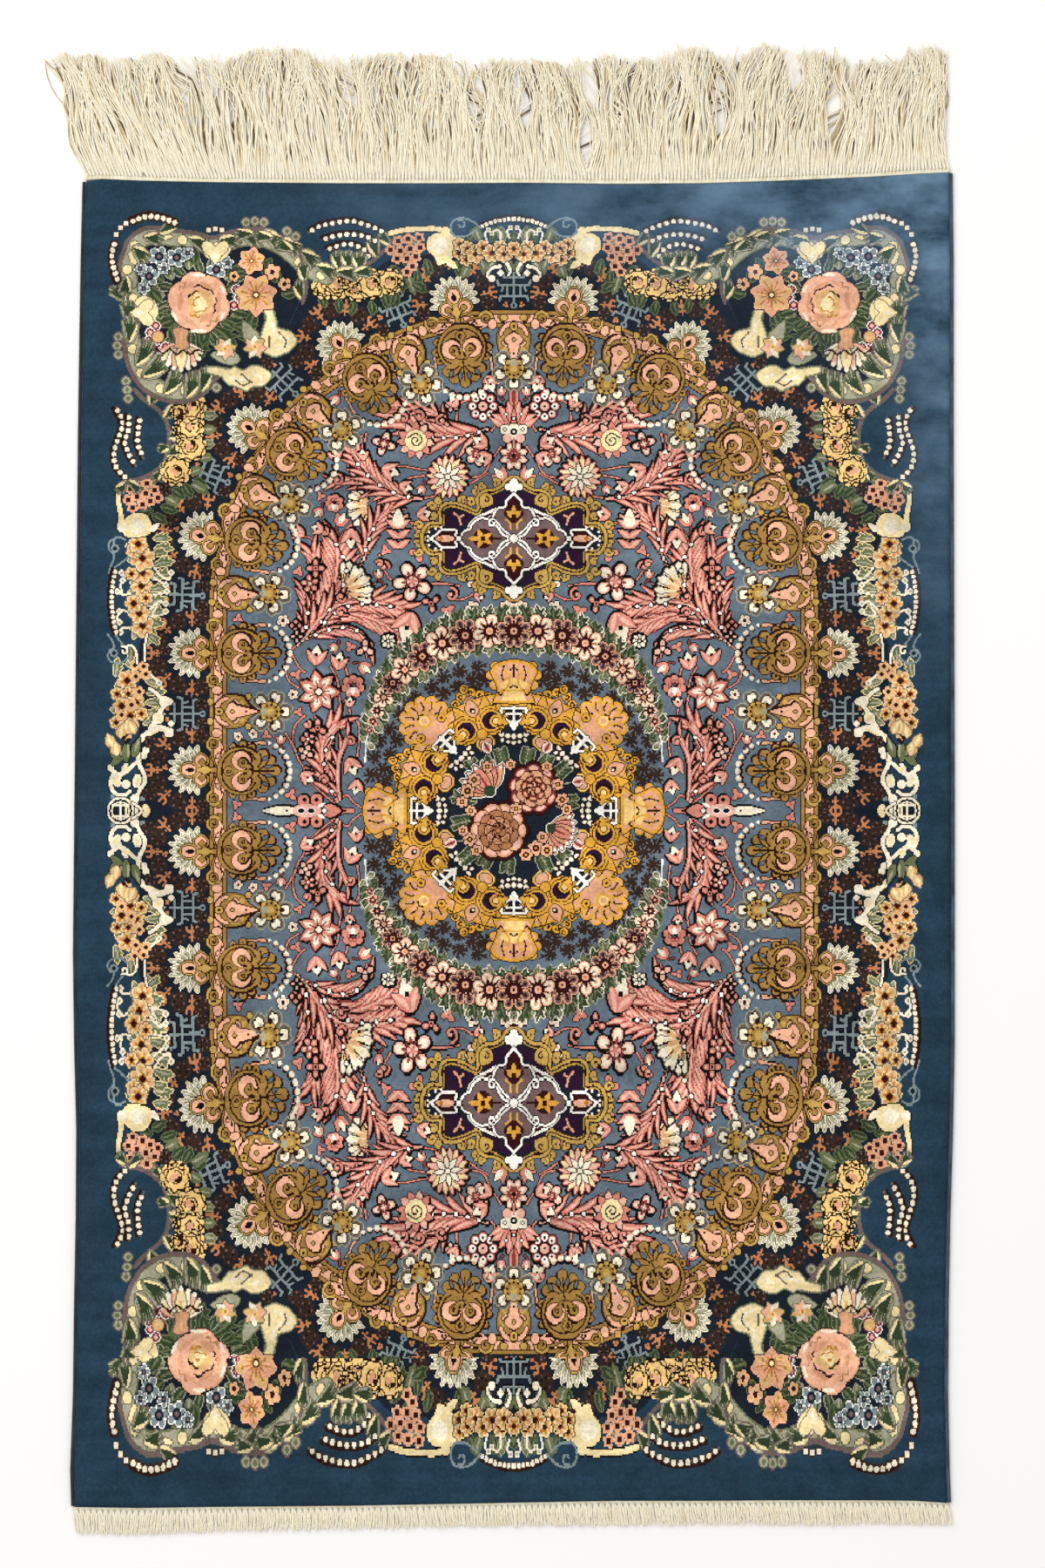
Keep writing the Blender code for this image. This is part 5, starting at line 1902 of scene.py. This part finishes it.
# the combed warp ends, a row for each lock: where it is rooted across the rug, how far it has
# moved sideways halfway up and at its tip, and how far up the rug its tip reaches
longLocks = np.array([(-392, -16, -23, 712), (-375, -18, -29, 716), (-345, -20, -36, 715),
    (-319, -22, -43, 712), (-295, -19, -33, 716), (-276, -21, -38, 717), (-268, -11, -20, 714),
    (-257, -13, -23, 712), (-249, -5, -10, 709), (-232, -4, -9, 721), (-204, -6, -9, 721),
    (-184, -10, -16, 719), (-163, -11, -22, 716), (-150, -12, -24, 710), (-142, -2, -6, 712),
    (-127, -4, -7, 716), (-110, -1, -2, 717), (-92, 1, 1, 716), (-73, -2, -4, 716), (-56, -1, -3, 714),
    (-46, -3, -6, 705), (-33, -7, -11, 694), (-21, -2, -4, 712), (-7, -2, -3, 712), (9, -8, -11, 709),
    (20, -1, -13, 709), (38, -4, -15, 710), (50, -6, -15, 708), (62, -7, -12, 706), (76, 2, 0, 714),
    (86, 1, 3, 716), (100, 0, -1, 708), (114, 1, 1, 712), (131, -1, 0, 712), (148, 2, 7, 720),
    (164, 2, 6, 724), (176, 1, 5, 716), (185, 6, 17, 712), (200, 9, 19, 724), (216, 8, 16, 724),
    (231, 5, 10, 716), (242, 2, 5, 696), (254, 5, 13, 719), (270, 2, 7, 718), (280, 1, 8, 717),
    (289, 6, 16, 712), (307, 7, 14, 710), (325, 8, 13, 708), (340, 5, 12, 712), (352, 3, 10, 718),
    (366, 1, 7, 723), (382, -4, 2, 722), (397, -9, -3, 721)])
shortLocks = np.array([(-396, 1, 2, -627.0), (-330, -1, -2, -628.0), (-250, 1, 1, -624.5),
    (-170, 0, -1, -623.0), (-90, 1, 2, -621.5), (0, 0, 1, -620.0), (90, 1, 2.5, -620.0),
    (180, 1.5, 3, -618.5), (270, 1, 2.5, -619.0), (340, 1.5, 3, -618.5), (396, 1, 2, -619.0)])
# gaps in the long fringe: middle across, half width, where they start and end up the rug, mm
longGaps = [(-300, 5.5, 672, 724), (-273, 4.5, 680, 722), (-255, 2.5, 651, 690), (-151, 6, 658, 716),
    (-34, 7, 645, 696), (10, 5, 650, 688), (69, 4.5, 666, 714), (67, 7, 612, 662), (95, 4.5, 652, 690),
    (144, 4.5, 654, 694), (186, 7.5, 638, 710), (255, 5, 682, 722), (290, 6, 636, 690),
    (308, 4, 676, 720)]
longFringe = {
    "name": "fringeLong",
    "stands": "fringe_long",
    "locks": longLocks,
    "gaps": longGaps,
    "column": 2,  # of endTable
    "away": 1,  # the way it points along the rug
    "groups": 241,  # the warps leave the heading in groups 3.3 mm apart
    "threads": 8,  # the first two of each group are thick ones that lie under the rest
    "lowShade": -0.5,  # painted shade: threads that lie low between the others are painted darker by so much
    "radius": 0.76,
    "underRadius": 1.15,
    "steps": 15,
    "drift": 4.2,  # how far neighbouring threads sway together, mm
    "wander": 3.4,  # how far one thread sways by itself, mm
    "uneven": 5.0,  # spread of the thread lengths, mm
    "strayShare": 0.28,  # threads that lie loose across the others
    "headingWide": 5.0,
    "headingHigh": 1.9,
    "layDepth": 3.0,  # depth of the fringe on the floor
}
shortFringe = {
    "name": "fringeShort",
    "stands": "fringe_short",
    "locks": shortLocks,
    "gaps": [],
    "column": 1,
    "away": -1,
    "groups": 145,  # 5.5 mm apart
    "threads": 8,
    "lowShade": 0.1,
    "radius": 0.8,
    "underRadius": 1.3,
    "steps": 5,
    "drift": 0.7,
    "wander": 0.8,
    "uneven": 2.6,
    "strayShare": 0.05,
    "headingWide": 3.2,
    "headingHigh": 1.6,
    "layDepth": 1.5,
}
# slow sways that neighbouring threads share: size, per mm across, per mm along, start
sways = [(1.0, 0.058, 0.060, 0.3), (0.8, 0.11, -0.045, 2.1), (0.6, 0.19, 0.080, 4.0),
    (0.5, 0.33, -0.070, 1.2)]


def tube(path, radius, sides=3):
    # points and quads of a thin thread through the path
    along = np.gradient(path, axis=0)
    along /= np.linalg.norm(along, axis=1, keepdims=True) + 1e-9
    across = np.cross(along, (0, 0, 1.0))
    across /= np.linalg.norm(across, axis=1, keepdims=True) + 1e-9
    up = np.cross(across, along)
    turns = (2 * np.pi * np.arange(sides) / sides - np.pi / 2)[None, :, None]
    ring = across[:, None] * np.cos(turns) + up[:, None] * np.sin(turns)
    points = (path[:, None] + ring * np.reshape(radius, (-1, 1, 1))).reshape(-1, 3)
    first = np.arange(len(path) - 1)[:, None] * sides
    a = first + np.arange(sides)
    b = first + (np.arange(sides) + 1) % sides
    quads = np.stack([b, a, a + sides, b + sides], -1).reshape(-1, 4)
    return points, quads


def threadPath(f, root, offset, startY, depth):
    # one thread from its heading to its tip, at its own depth in the fringe, 0 for the floor
    share = np.linspace(0, 1, f["steps"])
    mid, tip, reach = (np.interp(root, f["locks"][:, 0], f["locks"][:, i]) for i in (1, 2, 3))
    reach += f["away"] * f["uneven"] * (lucky.normal(0, 0.35) - abs(lucky.normal(0, 0.45)))
    x = root + offset * (0.35 + 0.65 * np.minimum(1, 4 * share))
    x = x + 4 * share * (1 - share) * mid + share * (2 * share - 1) * tip
    y = startY + (reach - startY) * share
    loose = depth > 0 and lucky.random() < f["strayShare"]
    for size, perX, perY, start in sways:
        x += f["drift"] * size * share**1.2 * np.sin(perX * root + perY * (y - startY) + start + 0.5 * depth)
    own = f["wander"] * share**0.8 * (2.6 if loose else 1.0)
    turns, start = lucky.uniform(0.7, 2.2), lucky.uniform(0, 2 * np.pi)
    x += own * lucky.uniform(0.4, 1.0) * (np.sin(2 * np.pi * turns * share + start) - math.sin(start))
    x += lucky.normal(0, f["wander"] * (2.4 if loose else 0.9)) * share
    if loose:
        y = y + f["wander"] * 0.9 * share * np.sin(2 * np.pi * 1.7 * turns * share + 2 * start)
    for middle, half, fromY, toY in f["gaps"]:
        # threads are pushed aside round a gap, all but a few loose ones
        wide = half * np.sin(np.pi * np.clip((y - fromY) / (toY - fromY), 0, 1)) ** 0.8
        wide = wide * (0.1 if loose else 1.0)
        d = x - middle
        near = np.abs(d) < 3 * half
        x = np.where(near, middle + np.sign(d) * (wide + np.abs(d) * (1 - wide / (3 * half))), x)
    rise = np.minimum(1, share * 5)
    z = 0.8 + rise * f["layDepth"] * depth * (1 - 0.25 * share) + 0.25 * np.sin(9 * share + start)
    if depth == 0:
        y = startY + (y - startY) * 0.94
    return np.stack([x, y, np.clip(z, 0.6, 3.9)], 1)


def makeHeading(f, roots, finish):
    # a flat-woven band: a rib along the pile, then a small slit between one group and the next
    away, wide, high = f["away"], f["headingWide"], f["headingHigh"]
    pitch = roots[1] - roots[0]
    middles = (roots[:-1] + roots[1:]) / 2
    slit = np.array([-0.24, -0.16, 0.16, 0.24])
    depth = np.array([0.0, 1.0, 1.0, 0.0])
    x = np.concatenate([[roots[0] - pitch * 0.45], *[[m + s * pitch for s in slit] for m in middles]])
    x = np.append(x, roots[-1] + pitch * 0.45)
    deep = np.concatenate([[0.0], np.tile(depth, len(middles)), [0.0]])
    rows = np.array([0.0, 0.12, 0.34, 0.56, 0.66, 0.92, 1.0]) * wide
    lift = np.array([0.55, 1.0, 0.86, 0.9, 0.9, 0.8, 0.45]) * high
    cut = np.array([0.0, 0.0, 0.1, 0.8, 1.0, 1.0, 1.0])
    edge = endAt(x, f["column"]) + 0.3 * away
    grid = np.empty((len(rows), len(x), 3))
    grid[:, :, 0] = x
    grid[:, :, 1] = edge + away * rows[:, None]
    grid[:, :, 2] = lift[:, None] * (1 - 0.85 * cut[:, None] * deep) + 0.1
    grid[1:, :, 2] += lucky.normal(0, 0.05, (len(rows) - 1, len(x)))
    quads, rim = gridFaces(*grid.shape[:2])
    if away < 0:
        quads = quads[:, ::-1]
    points = grid.reshape(-1, 3)
    floorPoints = points * (1, 1, 0) + (0, 0, 0.05)
    below = quads[:, ::-1] + len(points)
    wall = np.stack([rim, rim + len(points), np.roll(rim, -1) + len(points), np.roll(rim, -1)], -1)
    if away < 0:
        wall = wall[:, ::-1]
    points, faces = np.concatenate([points, floorPoints]), np.concatenate([quads, below, wall])
    piece = meshPiece(f["name"] + "Heading", points, faces.tolist(), finish, f["stands"])
    addFlatUv(piece.data)
    return piece


def makeFringe(f, finish, bandFinish):
    middleY = 600.0 * f["away"]
    left, right = sideAt(middleY, 1) + 4.2, sideAt(middleY, 2) - 4.2
    roots = np.linspace(left, right, f["groups"])
    points, quads, lies, count = [], [], [], 0
    cleanRoot = np.minimum(1, 5 * np.linspace(0, 1, f["steps"]))
    for root in roots:
        startY = endAt(root, f["column"]) + f["away"] * (f["headingWide"] - 0.3)
        for k in range(f["threads"]):
            under = k < 2
            row = (k if under else k - 2) / (1 if under else f["threads"] - 3) - 0.5
            offset = row * (roots[1] - roots[0]) * (0.5 if under else 0.85)
            depth = 0.0 if under else 0.25 + 0.75 * ((k * 0.618 + lucky.uniform(0, 0.5)) % 1.0)
            path = threadPath(f, root, offset, startY, depth)
            thick = f["underRadius"] if under else f["radius"] * lucky.uniform(0.8, 1.2)
            path[:, 2] += 0.5 * thick
            taper = thick * np.linspace(1.0, 0.5, f["steps"]) ** 0.7
            tubePoints, tubeQuads = tube(path, taper)
            points.append(tubePoints)
            # painted shade for threads lying low, left clean near the heading
            lies.append(0.3 + (f["lowShade"] - 0.3) * (1 - depth) * np.repeat(cleanRoot, 3))
            quads.append(tubeQuads + count)
            count += len(tubePoints)
    points, quads = np.concatenate(points), np.concatenate(quads).tolist()
    piece = meshPiece(f["name"], points, quads, finish, f["stands"])
    piece.data.attributes.new("lie", "FLOAT", "POINT").data.foreach_set("value", np.concatenate(lies))
    addFlatUv(piece.data)
    heading = makeHeading(f, roots, bandFinish)
    print(f["name"], "threads:", f["groups"] * f["threads"], "faces:", len(piece.data.polygons))
    return [piece, heading]


cordSizes = {"radius": 1.7, "lift": 0.1, "stations": 601, "sides": 10}


def makeCord(name, stands, column, outward, finish):
    # a bundle of warps overcast with dark silk, along one side
    c = cordSizes
    y = np.linspace(endAt(outward * 400, 1) + 0.5, endAt(outward * 400, 2) - 0.5, c["stations"])
    x = sideAt(y, column) - outward * c["radius"]
    path = np.stack([x, y, np.full(len(y), c["lift"] + c["radius"])], 1)
    thick = c["radius"] * (1 + lucky.normal(0, 0.02, len(y)))
    thick = np.minimum(thick, c["radius"] * 1.04)
    points, quads = tube(path, thick, c["sides"])
    last = (c["stations"] - 1) * c["sides"]
    caps = [list(range(c["sides"])), [last + i for i in range(c["sides"])][::-1]]
    piece = meshPiece(name, points, quads.tolist() + caps, finish, stands)
    addFlatUv(piece.data)
    return piece


threadLook = {
    "roughness": 0.55,
    "sheen": 0.35,
    "pale": "#fff6dc",
    "deep": "#f2dcac",
    "shade": "#5f4322",  # painted shade of threads that lie low between the others
}


def warpMaterial():
    # undyed silk warp threads, spun and combed out: ivory with a soft gleam, each one its own / tone, and
    # painted shade in honey-brown where they lie low between the others
    look = threadLook
    made, add = startMaterial("combedSilkWarp")
    own = add("NewGeometry", out="Random Per Island")
    place = add("TexCoord", out="Object")
    slubs = add("TexNoise", {"Vector": place, "Scale": 70.0, "Detail": 3.0})
    lie = add("Attribute", out="Fac", attribute_name="lie")  # painted shade: how dark a thread lying low in the fringe is painted
    mixed = add("Math", (own, 0.55, lie), operation="MULTIPLY_ADD")
    mixed = add("Math", (slubs, 0.5, mixed), operation="MULTIPLY_ADD")
    shade = add("ValToRGB", (mixed,))
    setStops(shade, (0.0, look["shade"]), (0.54, look["pale"]), (0.26, look["deep"]))
    fibres = add("TexNoise", {"Vector": place, "Scale": 2200.0, "Detail": 2.0})
    roughness = look["roughness"]
    finish = {"Base Color": shade, "Roughness": add("MapRange",
        (slubs, 0.0, 1.0, roughness - 0.08, roughness + 0.08)),
        "Normal": add("Bump", {"Strength": 0.25, "Distance": 0.0003, "Height": fibres}),
        "Sheen Weight": look["sheen"], "Sheen Roughness": 0.4, "Specular IOR Level": 0.35}
    closeMaterial(add, finish)
    return made


def headingMaterial():
    # the same silk woven plain into a flat band: fine ribs of weft over the warps, matt and close
    made, add = startMaterial("plainWovenSilkBand")
    place = add("TexCoord", out="Object")
    x, y = add("SeparateXYZ", (place,)).node.outputs[:2]
    # warps 0.9 mm apart, wefts 0.6 mm apart
    warps = add("Math", (add("Math", (x, 2 * math.pi / 0.0009), operation="MULTIPLY"),), operation="SINE")
    wefts = add("Math", (add("Math", (y, 2 * math.pi / 0.0006), operation="MULTIPLY"),), operation="SINE")
    weave = add("Math", (warps, wefts), operation="MULTIPLY")
    patches = add("TexNoise", {"Vector": place, "Scale": 120.0, "Detail": 3.0})
    shade = add("ValToRGB", (patches,))
    setStops(shade, (0.3, "#e6dbb8"), (0.65, "#fbf6e2"))
    finish = {"Base Color": shade, "Roughness": add("MapRange", (patches, 0.0, 1.0, 0.62, 0.78)),
        "Normal": add("Bump", {"Strength": 0.3, "Distance": 0.0003, "Height": weave}),
        "Sheen Weight": 0.12, "Specular IOR Level": 0.3}
    closeMaterial(add, finish)
    return made


def cordMaterial():
    # dark silk wound tightly round a bundle of warps: close turns, 1.1 mm apart, catch the light, with
    # painted light and shade across each turn
    made, add = startMaterial("overcastSilkCord")
    place = add("TexCoord", out="Object")
    x, y = add("SeparateXYZ", (place,)).node.outputs[:2]
    slant = add("Math", (x, 0.6, y), operation="MULTIPLY_ADD")
    turns = add("Math", (add("Math", (slant, 2 * math.pi / 0.0011), operation="MULTIPLY"),),
        operation="SINE")
    # painted light and shade across each turn of the overcast
    turnShade = add("MapRange", (turns, -1.0, 1.0, 0.7, 1.1))
    paintedLight = add("MapRange", (x, -0.1, 0.1, 1.0, 3.2))  # painted light: the right cord is painted lighter, as on the side the light falls on
    patches = add("TexNoise", {"Vector": place, "Scale": 40.0, "Detail": 4.0})
    shade = add("ValToRGB", (patches,))
    setStops(shade, (0.32, "#10171d"), (0.72, "#2c3c4a"))
    light = add("Math", (turnShade, paintedLight), operation="MULTIPLY")
    finish = {"Base Color": add("VectorMath", {0: shade, "Scale": light}, operation="SCALE"),
        "Roughness": add("MapRange", (patches, 0.0, 1.0, 0.5, 0.66)),
        "Normal": add("Bump", {"Strength": 0.6, "Distance": 0.0005, "Height": turns}),
        "Sheen Weight": 0.15, "Specular IOR Level": 0.35}
    closeMaterial(add, finish)
    return made


pile, back = makeCloth()
cordFinish = cordMaterial()
cords = [makeCord("sideCordLeft", "side_cord_left", 1, -1, cordFinish),
    makeCord("sideCordRight", "side_cord_right", 2, 1, cordFinish)]
warpFinish, bandFinish = warpMaterial(), headingMaterial()
fringes = makeFringe(longFringe, warpFinish, bandFinish) + makeFringe(shortFringe, warpFinish, bandFinish)

studio = {
    "floorSide": 24.0,
    "floorColour": "#fdfbf8",
    "skyStrength": 0.73,
    "lampPower": 90.0,
    "lampSide": 4.0,
    "lampPlace": (-1.6, 2.0, 3.2),
    "cameraUp": 6.0,
    "frameHigh": 1.4229,  # how much of the rug's length fills the picture's height, metres
    "cameraPlace": (0.0079, 0.05375),
}


def makeFloor():
    side = studio["floorSide"] / 2
    mesh = bpy.data.meshes.new("paleFloor")
    mesh.from_pydata([(-side, -side, 0), (side, -side, 0), (side, side, 0), (-side, side, 0)], [],
        [(0, 1, 2, 3)])
    # a plain matt floor so pale that only the rug's soft contact shadow shows on it
    made, add = startMaterial("mattPaintedFloor")
    colour = toLinear(studio["floorColour"])
    closeMaterial(add, {"Base Color": colour, "Roughness": 0.9, "Specular IOR Level": 0.1})
    mesh.materials.append(made)
    floor = bpy.data.objects.new("paleFloor", mesh)
    floor.location.z = cadBox[0][2] - 0.0005
    bpy.context.scene.collection.objects.link(floor)


def makeLight():
    world = bpy.data.worlds.new("softRoom")
    world.use_nodes = True
    world.node_tree.nodes["Background"].inputs[0].default_value = (1.0, 1.0, 1.0, 1.0)
    world.node_tree.nodes["Background"].inputs[1].default_value = studio["skyStrength"]
    bpy.context.scene.world = world
    lamp = bpy.data.lights.new("softBox", "AREA")
    lamp.size = studio["lampSide"]
    lamp.energy = studio["lampPower"]
    softBox = bpy.data.objects.new("softBox", lamp)
    softBox.location = studio["lampPlace"]
    softBox.rotation_euler = (-softBox.location).to_track_quat("-Z", "Y").to_euler()
    bpy.context.scene.collection.objects.link(softBox)


def makeCamera():
    lens = bpy.data.cameras.new("overhead")
    lens.sensor_width = 36.0
    lens.lens = lens.sensor_width * studio["cameraUp"] / studio["frameHigh"]
    camera = bpy.data.objects.new("overhead", lens)
    camera.location = (*studio["cameraPlace"], studio["cameraUp"] + bodyTop)
    bpy.context.scene.collection.objects.link(camera)
    bpy.context.scene.camera = camera
    bpy.context.scene.view_settings.view_transform = "Standard"


makeFloor()
makeLight()
makeCamera()
print("floor, light and camera set")
